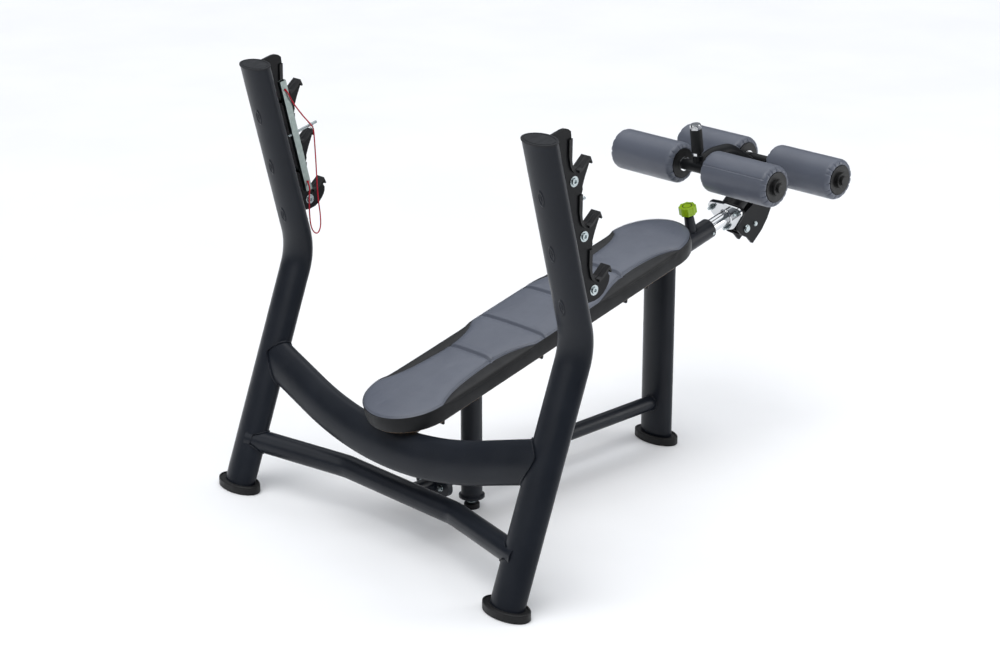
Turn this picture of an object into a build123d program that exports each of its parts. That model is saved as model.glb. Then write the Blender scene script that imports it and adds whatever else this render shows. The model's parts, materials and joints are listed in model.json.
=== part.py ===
"""Olympic decline bench with bar racks and an adjustable leg roller carriage.

Frame: X runs along the bench from the head end to the foot end, Y to the left
when looking along +X, Z up. The floor is Z = 0 and the origin lies on it, under
the middle of the bench. The pieces are made with X counted from the middle
between the two front feet, and the export moves them. Millimetres throughout.
"""
from build123d import *
from math import atan2, cos, degrees, pi, radians, sin, tan
import os

os.makedirs("parts", exist_ok=True)

# ---------------------------------------------------------------- dimensions
# oval uprights
RACK_SPAN = 1100.0          # centre distance of the uprights
OVAL_A = 29.0               # half thickness of the oval tube, along X
OVAL_B = 56.0               # half width of the oval tube, along Y
WALL = 3.0
TUBE_FOOT_Z = 6.0           # height of the tube ends above the floor
BEND_X = 243.0
BEND_Z = 659.0
TOP_X = 107.0
TOP_Z = 1199.5
UPRIGHT_BEND_R = 180.0
CAP_T = 4.0
CAP_LIP = 2.0               # the cap stands this far proud of the tube

# feet
FOOT_A = 43.0
FOOT_B = 77.0
FOOT_H = 24.0

# curved crossbar under the pad's head end
ARC_X = 95.7
ARC_LOW_Z = 260.0
ARC_CORNER_Z = 211.0
ARC_END_Z = 372.0
ARC_LEAN = 0.330            # X gained for each unit of height
ARC_R = 1150.0
ARC_A = 25.0
ARC_B = 58.0

# lower crossbar, bent forward in the middle
BAR_R = 31.5
BAR_END_X = 46.0
BAR_END_Z = 138.0
BAR_MID_X = 128.5
BAR_MID_Z = 127.0
BAR_MID_Y = 220.0

# lower rail and the two legs
RAIL_Z = 110.0
RAIL_R = 22.0
RAIL_REAR_Z = 122.0
JOINT_X = 250.0             # face where the bracket and the rail flange meet
FLANGE_T = 8.0
LEG_X = 1128.0
FRONT_LEG_X = 387.0
FRONT_LEG_R = 29.5

# inclined spine; SPINE_END is the centre of its open end
SLOPE = atan2(0.262, 1.0)
SPINE_END_X = 1333.0
SPINE_END_Z = 611.0
SPINE_R = 30.0
SPINE_BORE = 27.0
SLIDE_R = 21.0
BUSH_BORE = 21.05
BUSH_L = 92.0
PIN_BACK = 71.0             # pop pin axis, back from the spine's end
HOLE_PITCH = 30.0

# pad
PAD_TOP_Z = 356.0           # height of the pad's top plane above the origin
PAD_START = 45.0
PAD_LENGTH = 1180.0
PAD_WIDTH = 260.0
PAD_T = 52.0
BOARD_T = 14.0

# racks, in a frame that runs down the upright from its top
LEAN = atan2(TOP_X - BEND_X, TOP_Z - BEND_Z)
HOOK_PITCH = 149.5
HOOK_FIRST = 124.0
PLATE_T = 10.0
NOSE_W = 32.0
LEG_W = 19.0
BOLT_D = 71.0
RACK_Y = 558.0              # centre plane of a rack plate

# bar lock: channel, pin and cord
LOCK_D = 52.0               # channel centre in front of the upright's axis
LOCK_Y = 522.0
LOCK_TOP = 66.0
LOCK_BOTTOM = 396.0
LOCK_PIN_T = 223.0
LOCK_PIN_R = 4.0
CORD_D = 3.8

# roller carriage
FRONT_AXLE = (1277.5, 807.0)
REAR_AXLE = (1560.0, 775.0)
AXLE_R = 12.5
SPACER_R = 17.0
ROLLER_IN = 56.0
ROLLER_OUT = 300.0
ROLLER_R = 60.5
CORE_R = 20.0
DISC_R = 43.0
ARM_R = 22.5
FLANGE_AT = 77.0            # chrome flange, beyond the spine's end
STUB_AT = 46.0              # start of the stub's axis, beyond the spine's end
SIDE_Y = 22.6
SIDE_T = 7.0

# X of the middle of the bench's length; up to the export, X counts from the head feet
MIDDLE_X = 790.0

half = RACK_SPAN / 2
ALONG = (cos(SLOPE), 0, sin(SLOPE))
UP = (-sin(SLOPE), 0, cos(SLOPE))
pieces = {}


def on_slope(s, n, y=0.0):
    """Point at distance s along the pad slope and n above its top plane."""
    return Vector(s * cos(SLOPE) - n * sin(SLOPE), y,
                  PAD_TOP_Z + s * sin(SLOPE) + n * cos(SLOPE))


def on_spine(s, n, y=0.0):
    """Point at distance s beyond the spine's end and n above its axis."""
    return Vector(SPINE_END_X + s * cos(SLOPE) - n * sin(SLOPE), y,
                  SPINE_END_Z + s * sin(SLOPE) + n * cos(SLOPE))


def on_rack(d, t, y=RACK_Y):
    """Point d in front of the upright's axis and t below its top."""
    return Vector(TOP_X + d * cos(LEAN) - t * sin(LEAN), y,
                  TOP_Z - d * sin(LEAN) - t * cos(LEAN))


def slope_plane(s, n, y=0.0):
    """Plane square to the pad's top, x along the slope, y to the left."""
    return Plane(origin=on_slope(s, n, y), x_dir=(cos(SLOPE), 0, sin(SLOPE)),
                 z_dir=(-sin(SLOPE), 0, cos(SLOPE)))


def spine_section(s):
    """Plane across the spine: x to the left, y up, z outward."""
    return Plane(origin=on_spine(s, 0), x_dir=(0, 1, 0),
                 z_dir=(cos(SLOPE), 0, sin(SLOPE)))


def spine_up(s, n):
    """Plane on top of the spine, with its normal square to the slope."""
    return Plane(origin=on_spine(s, n), x_dir=(cos(SLOPE), 0, sin(SLOPE)),
                 z_dir=(-sin(SLOPE), 0, cos(SLOPE)))


def spine_radial(s, r, angle):
    """Plane facing out of the spine at radius r, angle above its right side."""
    out = Vector(0, -cos(radians(angle)), 0) + Vector(*UP) * sin(radians(angle))
    return Plane(origin=on_spine(s, 0) + out * r, x_dir=ALONG, z_dir=out)


def rack_plane(y):
    """Plane of a rack profile: x forward, y up the upright, facing right."""
    return Plane(origin=on_rack(0, 0, y), x_dir=(cos(LEAN), 0, -sin(LEAN)),
                 z_dir=(0, -1, 0))


# ------------------------------------------------- outer forms used for coping
def upright_form(grow=0.0):
    """Solid outer form of the left upright, from below the floor to its top."""
    foot = (0 - BEND_X * 0.05, half, TUBE_FOOT_Z - (BEND_Z - TUBE_FOOT_Z) * 0.05)
    with BuildPart() as form:
        with BuildLine() as path:
            FilletPolyline(foot, (BEND_X, half, BEND_Z),
                           (TOP_X, half, TOP_Z), radius=UPRIGHT_BEND_R)
        start = Plane(origin=path.line @ 0, x_dir=(0, 1, 0), z_dir=path.line % 0)
        with BuildSketch(start):
            Ellipse(OVAL_B + grow, OVAL_A + grow)
        sweep()
    return form.part


def arc_form(grow=0.0):
    """Solid outer form of the curved crossbar between the upright centres."""
    lean_x = ARC_X + ARC_LEAN * (ARC_END_Z - ARC_LOW_Z)
    low_x = ARC_X + ARC_LEAN * (ARC_CORNER_Z - ARC_LOW_Z)
    with BuildPart() as form:
        with BuildLine() as path:
            FilletPolyline((lean_x, half, ARC_END_Z), (low_x, 0, ARC_CORNER_Z),
                           (lean_x, -half, ARC_END_Z), radius=ARC_R)
        across = Vector(1, 0, -ARC_LEAN).normalized()
        start = Plane(origin=path.line @ 0, x_dir=across, z_dir=path.line % 0)
        with BuildSketch(start):
            Ellipse(ARC_A + grow, ARC_B + grow)
        sweep()
    return form.part


left_form = upright_form()
left_bore = upright_form(-WALL)
right_form = left_form.mirror(Plane.XZ)
arc_outer = arc_form()

with BuildPart() as spine_form:
    with BuildSketch(spine_section(-1300)):
        Circle(SPINE_R)
    extrude(amount=1300)

# -------------------------------------------------------------------- uprights
with BuildPart() as upright_left:
    add(left_form)
    add(left_bore, mode=Mode.SUBTRACT)
    with BuildSketch(Plane.XY.offset(TUBE_FOOT_Z)):
        with Locations((0, half)):
            Rectangle(400, 300)
    extrude(amount=-200, mode=Mode.SUBTRACT)
    # the closing cap takes the last few millimetres
    with BuildSketch(Plane(origin=on_rack(0, CAP_T, half), x_dir=(0, 1, 0),
                           z_dir=(sin(LEAN), 0, cos(LEAN)))):
        Rectangle(400, 400)
    extrude(amount=60, mode=Mode.SUBTRACT)
pieces["upright_left"] = upright_left

with BuildPart() as upright_right:
    mirror(upright_left.part, about=Plane.XZ)
pieces["upright_right"] = upright_right

cap_plane = Plane(origin=on_rack(0, CAP_T, half), x_dir=(0, 1, 0),
                  z_dir=(sin(LEAN), 0, cos(LEAN)))
with BuildPart() as upright_cap_left:
    with BuildSketch(cap_plane):
        Ellipse(OVAL_B + CAP_LIP, OVAL_A + CAP_LIP / 2)
    extrude(amount=CAP_T)
    fillet(upright_cap_left.faces().sort_by(Axis.Z)[-1].edges(), 1.2)
    with BuildSketch(cap_plane.offset(CAP_T)):
        Ellipse(OVAL_B - 4.5, OVAL_A - 4.5)
        Ellipse(OVAL_B - 6.0, OVAL_A - 6.0, mode=Mode.SUBTRACT)
    extrude(amount=-1.0, mode=Mode.SUBTRACT)
    with BuildSketch(cap_plane):
        Ellipse(OVAL_B - WALL - 0.1, OVAL_A - WALL - 0.1)
        Ellipse(OVAL_B - WALL - 3, OVAL_A - WALL - 3, mode=Mode.SUBTRACT)
    extrude(amount=-12)
pieces["upright_cap_left"] = upright_cap_left

with BuildPart() as upright_cap_right:
    mirror(upright_cap_left.part, about=Plane.XZ)
pieces["upright_cap_right"] = upright_cap_right


# ------------------------------------------------------------------------ feet
def foot_cup(x, y):
    """Oval floor cup with a raised rim; the tube's pocket is cut later."""
    with BuildPart() as cup:
        with BuildSketch():
            with Locations((x, y)):
                Ellipse(FOOT_A, FOOT_B)
        extrude(amount=FOOT_H)
        fillet(cup.faces().sort_by(Axis.Z)[-1].edges(), 4)
        chamfer(cup.faces().sort_by(Axis.Z)[0].edges(), 2)
        with BuildSketch(Plane.XY.offset(FOOT_H)):
            with Locations((x, y)):
                Ellipse(FOOT_A - 5.5, FOOT_B - 5.5)
        extrude(amount=-3, mode=Mode.SUBTRACT)
    return cup.part


with BuildPart() as foot_cup_left:
    add(foot_cup(2, half))
    add(left_form, mode=Mode.SUBTRACT)
    with BuildSketch():
        with Locations((2, half)):
            Ellipse(FOOT_A - 3, FOOT_B - 3)
    extrude(amount=TUBE_FOOT_Z)
pieces["foot_cup_left"] = foot_cup_left

with BuildPart() as foot_cup_right:
    mirror(foot_cup_left.part, about=Plane.XZ)
pieces["foot_cup_right"] = foot_cup_right

with BuildPart() as foot_cup_rear:
    add(foot_cup(LEG_X, 0))
    with BuildSketch(Plane.XY.offset(TUBE_FOOT_Z)):
        with Locations((LEG_X, 0)):
            Ellipse(OVAL_A, OVAL_B)
    extrude(amount=FOOT_H, mode=Mode.SUBTRACT)
pieces["foot_cup_rear"] = foot_cup_rear

# ------------------------------------------------------------- curved crossbar
with BuildPart() as arc_crossbar:
    add(arc_outer)
    add(arc_form(-WALL), mode=Mode.SUBTRACT)
    add(left_form, mode=Mode.SUBTRACT)
    add(right_form, mode=Mode.SUBTRACT)
pieces["arc_crossbar"] = arc_crossbar

# -------------------------------------------------------------- lower crossbar
bar_points = [(BAR_END_X, half, BAR_END_Z), (BAR_MID_X, BAR_MID_Y, BAR_MID_Z),
              (BAR_MID_X, -BAR_MID_Y, BAR_MID_Z), (BAR_END_X, -half, BAR_END_Z)]
with BuildPart() as bar_form:
    with BuildLine() as bar_path:
        FilletPolyline(*bar_points, radius=110)
    with BuildSketch(Plane(origin=bar_path.line @ 0, z_dir=bar_path.line % 0)):
        Circle(BAR_R)
    sweep()

with BuildPart() as lower_crossbar:
    with BuildLine() as bar_line:
        FilletPolyline(*bar_points, radius=110)
    with BuildSketch(Plane(origin=bar_line.line @ 0, z_dir=bar_line.line % 0)):
        Circle(BAR_R)
        Circle(BAR_R - WALL, mode=Mode.SUBTRACT)
    sweep()
    add(left_form, mode=Mode.SUBTRACT)
    add(right_form, mode=Mode.SUBTRACT)
pieces["lower_crossbar"] = lower_crossbar

# --------------------------------------- bolted joint between crossbar and rail
RAIL_BOLT_Y = 36.0


def flange_plate(x):
    """Oval flange plate, FLANGE_T thick, from x toward +X."""
    with BuildPart() as plate:
        with BuildSketch(Plane(origin=(x, 0, RAIL_Z), x_dir=(0, 1, 0),
                               z_dir=(1, 0, 0))):
            SlotOverall(132, 48)
            with Locations((-RAIL_BOLT_Y, 0), (RAIL_BOLT_Y, 0)):
                Circle(5.2, mode=Mode.SUBTRACT)
        extrude(amount=FLANGE_T)
    return plate.part


with BuildPart() as crossbar_bracket:
    with BuildSketch(Plane(origin=(BAR_MID_X, 0, RAIL_Z), z_dir=(1, 0, 0))):
        Circle(RAIL_R)
        Circle(RAIL_R - WALL, mode=Mode.SUBTRACT)
    extrude(amount=JOINT_X - FLANGE_T - BAR_MID_X)
    add(bar_form.part, mode=Mode.SUBTRACT)
    split(bisect_by=Plane(origin=(BAR_MID_X + 1, 0, 0), z_dir=(1, 0, 0)))
    add(flange_plate(JOINT_X - FLANGE_T))
pieces["crossbar_bracket"] = crossbar_bracket

with BuildPart() as leg_form:
    with BuildSketch(Plane.XY.offset(TUBE_FOOT_Z)):
        with Locations((LEG_X, 0)):
            Ellipse(OVAL_A, OVAL_B)
    extrude(amount=540)

rail_run = Vector(LEG_X - JOINT_X, 0, RAIL_REAR_Z - RAIL_Z)
rail_start = Plane(origin=(JOINT_X + 2, 0, RAIL_Z), z_dir=rail_run)
with BuildPart() as rail_form:
    with BuildSketch(rail_start):
        Circle(RAIL_R)
    extrude(amount=rail_run.length)

with BuildPart() as lower_rail:
    with BuildSketch(rail_start):
        Circle(RAIL_R)
        Circle(RAIL_R - WALL, mode=Mode.SUBTRACT)
    extrude(amount=rail_run.length)
    add(leg_form.part, mode=Mode.SUBTRACT)
    split(bisect_by=Plane(origin=(JOINT_X + FLANGE_T - 1, 0, 0),
                          z_dir=(1, 0, 0)))
    add(flange_plate(JOINT_X))
pieces["lower_rail"] = lower_rail

with BuildPart() as rail_bolts:
    for y in (-RAIL_BOLT_Y, RAIL_BOLT_Y):
        head = Plane(origin=(JOINT_X - FLANGE_T, y, RAIL_Z), z_dir=(-1, 0, 0))
        with BuildSketch(head):
            Circle(9)
        extrude(amount=1.5)
        with BuildSketch(head.offset(1.5)):
            RegularPolygon(8, 6)
        extrude(amount=6)
        with BuildSketch(head):
            Circle(5)
        extrude(amount=-2 * FLANGE_T - 12)
        with BuildSketch(head.offset(-2 * FLANGE_T - 8)):
            RegularPolygon(8, 6)
        extrude(amount=8)
pieces["rail_bolts"] = rail_bolts

# ---------------------------------------------------------------- rear leg
with BuildPart() as rear_leg:
    with BuildSketch(Plane.XY.offset(TUBE_FOOT_Z)):
        with Locations((LEG_X, 0)):
            Ellipse(OVAL_A, OVAL_B)
            Ellipse(OVAL_A - WALL, OVAL_B - WALL, mode=Mode.SUBTRACT)
    extrude(amount=540)
    # cut off square to the spine, with a saddle for its tube
    with BuildSketch(spine_up(-220, 6)):
        Rectangle(400, 300)
    extrude(amount=200, mode=Mode.SUBTRACT)
    add(spine_form.part, mode=Mode.SUBTRACT)
pieces["rear_leg"] = rear_leg

# ---------------------------------------------------------------- front leg
FRONT_FLANGE_Z = 32.0
with BuildPart() as front_leg:
    with BuildSketch(Plane.XY.offset(FRONT_FLANGE_Z)):
        with Locations((FRONT_LEG_X, 0)):
            Circle(36)
            Circle(6, mode=Mode.SUBTRACT)
    extrude(amount=7)
    with BuildSketch(Plane.XY.offset(FRONT_FLANGE_Z + 7)):
        with Locations((FRONT_LEG_X, 0)):
            Circle(FRONT_LEG_R)
            Circle(FRONT_LEG_R - WALL, mode=Mode.SUBTRACT)
    extrude(amount=330)
    with BuildSketch(slope_plane(400, -PAD_T - 37)):
        Rectangle(300, 300)
    extrude(amount=200, mode=Mode.SUBTRACT)
    add(spine_form.part, mode=Mode.SUBTRACT)
    add(rail_form.part, mode=Mode.SUBTRACT)
pieces["front_leg"] = front_leg

with BuildPart() as levelling_stem:
    with BuildSketch(Plane.XY.offset(9)):
        with Locations((FRONT_LEG_X, 0)):
            Circle(5.9)
    extrude(amount=45)
    with BuildSketch(Plane.XY.offset(FRONT_FLANGE_Z - 8)):
        with Locations((FRONT_LEG_X, 0)):
            RegularPolygon(10, 6)
    extrude(amount=8)
    with BuildSketch(Plane.XY.offset(16)):
        with Locations((FRONT_LEG_X, 0)):
            Circle(13)
    extrude(amount=3)
pieces["levelling_stem"] = levelling_stem

with BuildPart() as levelling_foot:
    with BuildSketch():
        with Locations((FRONT_LEG_X, 0)):
            Circle(22)
    extrude(amount=16)
    fillet(levelling_foot.faces().sort_by(Axis.Z)[-1].edges(), 5)
    with BuildSketch(Plane.XY.offset(9)):
        with Locations((FRONT_LEG_X, 0)):
            Circle(5.9)
    extrude(amount=10, mode=Mode.SUBTRACT)
pieces["levelling_foot"] = levelling_foot

# ------------------------------------------------------------------ spine tube
with BuildPart() as spine_tube:
    with BuildSketch(spine_section(-1300)):
        Circle(SPINE_R)
        Circle(SPINE_BORE, mode=Mode.SUBTRACT)
    extrude(amount=1297)
    add(arc_outer, mode=Mode.SUBTRACT)
    split(bisect_by=Plane(origin=(ARC_X + 6, 0, 300), z_dir=ALONG))
    with BuildSketch(spine_up(-PIN_BACK, 0)):
        Circle(5.3)
    extrude(amount=SPINE_R + 5, mode=Mode.SUBTRACT)
    with BuildSketch(spine_radial(-12, 0, -9)):
        Circle(2.5)
    extrude(amount=SPINE_R + 5, mode=Mode.SUBTRACT)
pieces["spine_tube"] = spine_tube

with BuildPart() as spine_bush:
    with BuildSketch(spine_section(-BUSH_L)):
        Circle(SPINE_BORE)
        Circle(BUSH_BORE, mode=Mode.SUBTRACT)
    extrude(amount=BUSH_L - 3)
    with BuildSketch(spine_section(-3)):
        Circle(SPINE_R)
        Circle(BUSH_BORE, mode=Mode.SUBTRACT)
    extrude(amount=3)
    fillet(spine_bush.faces().sort_by(Axis(on_spine(0, 0), ALONG))[-1]
           .edges().sort_by(SortBy.RADIUS)[-1], 1.5)
    with BuildSketch(spine_up(-PIN_BACK, 0)):
        Circle(5.3)
    extrude(amount=SPINE_R + 5, mode=Mode.SUBTRACT)
    with BuildSketch(spine_radial(-12, 0, -9)):
        Circle(2.5)
    extrude(amount=SPINE_R, mode=Mode.SUBTRACT)
pieces["spine_bush"] = spine_bush

with BuildPart() as bush_screw:
    with BuildSketch(spine_radial(-12, 24, -9)):
        Circle(2.5)
    extrude(amount=SPINE_R - 24)
    with BuildSketch(spine_radial(-12, SPINE_R, -9)):
        Circle(4.5)
    extrude(amount=3)
    fillet(bush_screw.edges().filter_by(GeomType.CIRCLE).sort_by(Axis.Y)[0], 1.5)
pieces["bush_screw"] = bush_screw

# --------------------------------------------------------------------- pop pin
PIN_R = 5.0
BARREL_TOP = 75.0
POCKET_R = 9.0
KNOB_R = 25.0

with BuildPart() as pin_barrel:
    with BuildSketch(spine_up(-PIN_BACK, 0)):
        Circle(19)
    with BuildSketch(spine_up(-PIN_BACK, BARREL_TOP)):
        Circle(14)
    loft()
    with BuildSketch(spine_up(-PIN_BACK, 38)):
        Circle(POCKET_R)
    extrude(amount=BARREL_TOP - 5 - 38, mode=Mode.SUBTRACT)
    with BuildSketch(spine_up(-PIN_BACK, 0)):
        Circle(PIN_R + 0.05)
    extrude(amount=45, mode=Mode.SUBTRACT)
    with BuildSketch(spine_up(-PIN_BACK, 60)):
        Circle(4.05)
    extrude(amount=20, mode=Mode.SUBTRACT)
    add(spine_form.part, mode=Mode.SUBTRACT)
pieces["pin_barrel"] = pin_barrel

with BuildPart() as pin_plunger:
    with BuildSketch(spine_up(-PIN_BACK, SLIDE_R + 0.3)):
        Circle(PIN_R)
    extrude(amount=50.5 - SLIDE_R - 0.3)
    with BuildSketch(spine_up(-PIN_BACK, 47.5)):
        Circle(POCKET_R - 0.4)
    extrude(amount=3)
    with BuildSketch(spine_up(-PIN_BACK, 50.5)):
        Circle(4)
    extrude(amount=50)
    chamfer(pin_plunger.faces().sort_by(Axis(on_spine(0, 0), UP))[0].edges(), 1.2)
pieces["pin_plunger"] = pin_plunger

# knob in its own flat frame, turned onto the pin's axis afterwards
with BuildPart() as knob_flat:
    with BuildSketch():
        Circle(KNOB_R - 1.5)
        with PolarLocations(KNOB_R - 3.5, 8):
            Circle(4.5)
    extrude(amount=25)
    fillet(knob_flat.faces().sort_by(Axis.Z)[-1].edges(), 1.8)
    with BuildSketch(Plane.XY.offset(25)):
        Circle(15)
        Circle(12, mode=Mode.SUBTRACT)
    extrude(amount=-2.5, mode=Mode.SUBTRACT)
    with BuildSketch():
        Circle(20)
        Circle(9, mode=Mode.SUBTRACT)
    extrude(amount=8, mode=Mode.SUBTRACT)
    with BuildSketch():
        Circle(4)
    extrude(amount=100.5 - 84, mode=Mode.SUBTRACT)

with BuildPart() as pin_knob:
    add(spine_up(-PIN_BACK, 84).location * knob_flat.part)
pieces["pin_knob"] = pin_knob

SPRING_R = 6.6
SPRING_WIRE = 0.8
SPRING_L = BARREL_TOP - 5 - 50.5 - 2 * SPRING_WIRE - 0.4
with BuildPart() as spring_flat:
    with BuildLine() as coil:
        Helix(pitch=SPRING_L / 5, height=SPRING_L, radius=SPRING_R)
    with BuildSketch(Plane(origin=coil.line @ 0, z_dir=coil.line % 0)):
        Circle(SPRING_WIRE)
    sweep(is_frenet=True)

with BuildPart() as pin_spring:
    add(spine_up(-PIN_BACK, 50.7 + SPRING_WIRE).location * spring_flat.part)
pieces["pin_spring"] = pin_spring

# ------------------------------------------------------------------------- pad
with BuildPart() as pad_board:
    with BuildSketch(slope_plane(PAD_START + PAD_LENGTH / 2, -PAD_T)):
        SlotOverall(PAD_LENGTH - 6, PAD_WIDTH - 6)
    extrude(amount=BOARD_T)
pieces["pad_board"] = pad_board

with BuildPart() as pad_cushion:
    with BuildSketch(slope_plane(PAD_START + PAD_LENGTH / 2, BOARD_T - PAD_T)):
        SlotOverall(PAD_LENGTH, PAD_WIDTH)
    extrude(amount=PAD_T - BOARD_T)
    fillet(pad_cushion.faces().sort_by(Axis(on_slope(0, 0), UP))[-1].edges(), 9)
pieces["pad_cushion"] = pad_cushion


def pad_mount(s, length):
    """Folded bracket between the spine and the pad board, centred at s."""
    with BuildPart() as mount:
        with BuildSketch(slope_plane(s, -PAD_T - 5)):
            RectangleRounded(length, 204, 8)
            with GridLocations(length - 24, 120, 2, 2):
                Circle(3.5, mode=Mode.SUBTRACT)
        extrude(amount=5)
        for end in (-1, 1):
            web = Plane(origin=on_slope(s + end * (length / 2 - 10), -PAD_T - 5),
                        x_dir=(0, 1, 0), z_dir=ALONG)
            with BuildSketch(web.offset(-2.5)):
                with Locations((0, -20)):
                    Trapezoid(184, 40, 70, rotation=180)
            extrude(amount=5)
        add(spine_form.part, mode=Mode.SUBTRACT)
    return mount.part


with BuildPart() as pad_mount_head:
    add(pad_mount(265, 150))
pieces["pad_mount_head"] = pad_mount_head

with BuildPart() as pad_mount_mid:
    add(pad_mount(620, 110))
pieces["pad_mount_mid"] = pad_mount_mid

with BuildPart() as pad_mount_foot:
    add(pad_mount(960, 110))
pieces["pad_mount_foot"] = pad_mount_foot

# ----------------------------------------------------------------------- racks
hooks = [HOOK_FIRST + i * HOOK_PITCH for i in range(3)]


def hook_edge(s):
    """Touching edge of one hook: down the leg, round the throat, up the nose."""
    return [(88, -s + 90), (74, -s + 38), (73, -s + 22), (77, -s + 12),
            (85, -s + 7), (95, -s + 9), (128, -s + 26), (131, -s + 8)]


def rack_outline():
    """Whole front outline of a rack, hooks included, as corner points."""
    points = [(15, -2), (64, -2), (75, -4), (84, -9), (90, -17)]
    for s in hooks:
        points += hook_edge(s)
        points += [(127, -s + 2), (109, -s - 21), (95, -s - 42), (94, -s - 50)]
    last = -hooks[-1]
    points = points[:-3]
    points += [(130, last - 7), (127, last - 16), (121, last - 25),
               (112, last - 33), (99, last - 41), (84, last - 46),
               (66, last - 46), (48, last - 42), (15, last - 37)]
    return points


def leg_points(s):
    """Closed band behind the leg and the throat of a hook."""
    return hook_edge(s)[:6] + [(97, -s + 3), (84, -s + 0.5), (73, -s + 6),
                               (67, -s + 19), (68, -s + 38), (82, -s + 90)]


def nose_points(s):
    """Closed band under the nose's top edge, with its front lip."""
    return hook_edge(s)[4:] + [(127, -s + 7), (124, -s + 17), (97, -s + 3),
                               (84, -s + 0.5)]


with BuildPart() as liner_cut_left:
    for s in hooks:
        for points, width in ((leg_points(s), LEG_W), (nose_points(s), NOSE_W)):
            with BuildSketch(rack_plane(RACK_Y + width / 2)):
                with BuildLine():
                    Polyline(*points, close=True)
                make_face()
            extrude(amount=width)

with BuildPart() as rack_plate_left:
    with BuildSketch(rack_plane(RACK_Y + PLATE_T / 2)):
        with BuildLine():
            Polyline(*rack_outline(), close=True)
        make_face()
        with Locations(*[(BOLT_D, -s - 18) for s in hooks]):
            Circle(4.1, mode=Mode.SUBTRACT)
    extrude(amount=PLATE_T)
    add(liner_cut_left.part, mode=Mode.SUBTRACT)
    add(left_form, mode=Mode.SUBTRACT)
    add(upright_cap_left.part, mode=Mode.SUBTRACT)
pieces["rack_plate_left"] = rack_plate_left

with BuildPart() as rack_plate_right:
    mirror(rack_plate_left.part, about=Plane.XZ)
pieces["rack_plate_right"] = rack_plate_right


def cheek_points(s):
    """Side cheek of a liner, a J that overlaps the plate's face."""
    return hook_edge(s)[:7] + [(130, -s + 12), (118, -s + 9), (102, -s + 1),
                               (88, -s), (76, -s + 4), (68, -s + 13),
                               (65.5, -s + 26), (66.5, -s + 50), (77, -s + 90)]


with BuildPart() as hook_liners_left:
    add(liner_cut_left.part)
    for side in (1, -1):
        y = RACK_Y + side * (PLATE_T / 2 + 2.25) + 2.25
        for s in hooks:
            with BuildSketch(rack_plane(y)):
                with BuildLine():
                    Polyline(*cheek_points(s), close=True)
                make_face()
            extrude(amount=4.5)
pieces["hook_liners_left"] = hook_liners_left

with BuildPart() as hook_liners_right:
    mirror(hook_liners_left.part, about=Plane.XZ)
pieces["hook_liners_right"] = hook_liners_right

with BuildPart() as rack_bolts_left:
    for s in hooks:
        face = Plane(origin=on_rack(BOLT_D, s + 18, RACK_Y - PLATE_T / 2),
                     z_dir=(0, -1, 0))
        with BuildSketch(face):
            Circle(4)
        extrude(amount=-PLATE_T)
        with BuildSketch(face):
            Circle(13.5)
        extrude(amount=1.6)
        with BuildSketch(face.offset(1.6)):
            Circle(9.5)
        extrude(amount=3.4, taper=14)
        with BuildSketch(face.offset(5)):
            RegularPolygon(5.2, 6)
        extrude(amount=-3.2, mode=Mode.SUBTRACT)
        # barrel nut with the same washer and head on the far side
        back = Plane(origin=on_rack(BOLT_D, s + 18, RACK_Y + PLATE_T / 2),
                     z_dir=(0, 1, 0))
        with BuildSketch(back):
            Circle(13.5)
        extrude(amount=1.6)
        with BuildSketch(back.offset(1.6)):
            Circle(9.5)
        extrude(amount=3.4, taper=14)
        with BuildSketch(back.offset(5)):
            RegularPolygon(5.2, 6)
        extrude(amount=-3.2, mode=Mode.SUBTRACT)
pieces["rack_bolts_left"] = rack_bolts_left

with BuildPart() as rack_bolts_right:
    mirror(rack_bolts_left.part, about=Plane.XZ)
pieces["rack_bolts_right"] = rack_bolts_right

# -------------------------------------------------------------------- bar lock
CHANNEL_D = 20.0
CHANNEL_Y = 14.0
CHANNEL_WALL = 2.0
CORD_HOLE_TOP = 92.0
CORD_HOLE_BOTTOM = 370.0
SPACERS = (130.0, 340.0)
face_y = LOCK_Y - CHANNEL_Y / 2
rack_up = (sin(LEAN), 0, cos(LEAN))
rack_out = (cos(LEAN), 0, -sin(LEAN))

with BuildPart() as lock_channel_left:
    with BuildSketch(Plane(origin=on_rack(LOCK_D, LOCK_BOTTOM, LOCK_Y),
                           x_dir=(0, 1, 0), z_dir=rack_up)):
        Rectangle(CHANNEL_Y, CHANNEL_D)
        Rectangle(CHANNEL_Y - 2 * CHANNEL_WALL, CHANNEL_D - 2 * CHANNEL_WALL,
                  mode=Mode.SUBTRACT)
    extrude(amount=LOCK_BOTTOM - LOCK_TOP)
    with BuildSketch(Plane(origin=on_rack(0, LOCK_PIN_T, LOCK_Y),
                           z_dir=rack_out)):
        Circle(LOCK_PIN_R + 0.05)
    extrude(amount=120, mode=Mode.SUBTRACT)
    for t in (CORD_HOLE_TOP, CORD_HOLE_BOTTOM):
        with BuildSketch(Plane(origin=on_rack(LOCK_D, t, face_y - 5),
                               z_dir=(0, 1, 0))):
            Circle(CORD_D / 2 + 1.2)
        extrude(amount=CHANNEL_Y + 10, mode=Mode.SUBTRACT)
    for t in SPACERS:
        with BuildSketch(Plane(origin=on_rack(LOCK_D, t, LOCK_Y + CHANNEL_Y / 2),
                               z_dir=(0, 1, 0))):
            Circle(7)
        extrude(amount=RACK_Y - PLATE_T / 2 - LOCK_Y - CHANNEL_Y / 2)
pieces["lock_channel_left"] = lock_channel_left

with BuildPart() as lock_channel_right:
    mirror(lock_channel_left.part, about=Plane.XZ)
pieces["lock_channel_right"] = lock_channel_right

PIN_TAIL = 29.0
PIN_HEAD = 132.0
RING_AT = 107.0
RING_R = 8.0
RING_WIRE = 0.9

ring_centre = on_rack(RING_AT, LOCK_PIN_T, LOCK_Y - RING_R)

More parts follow.
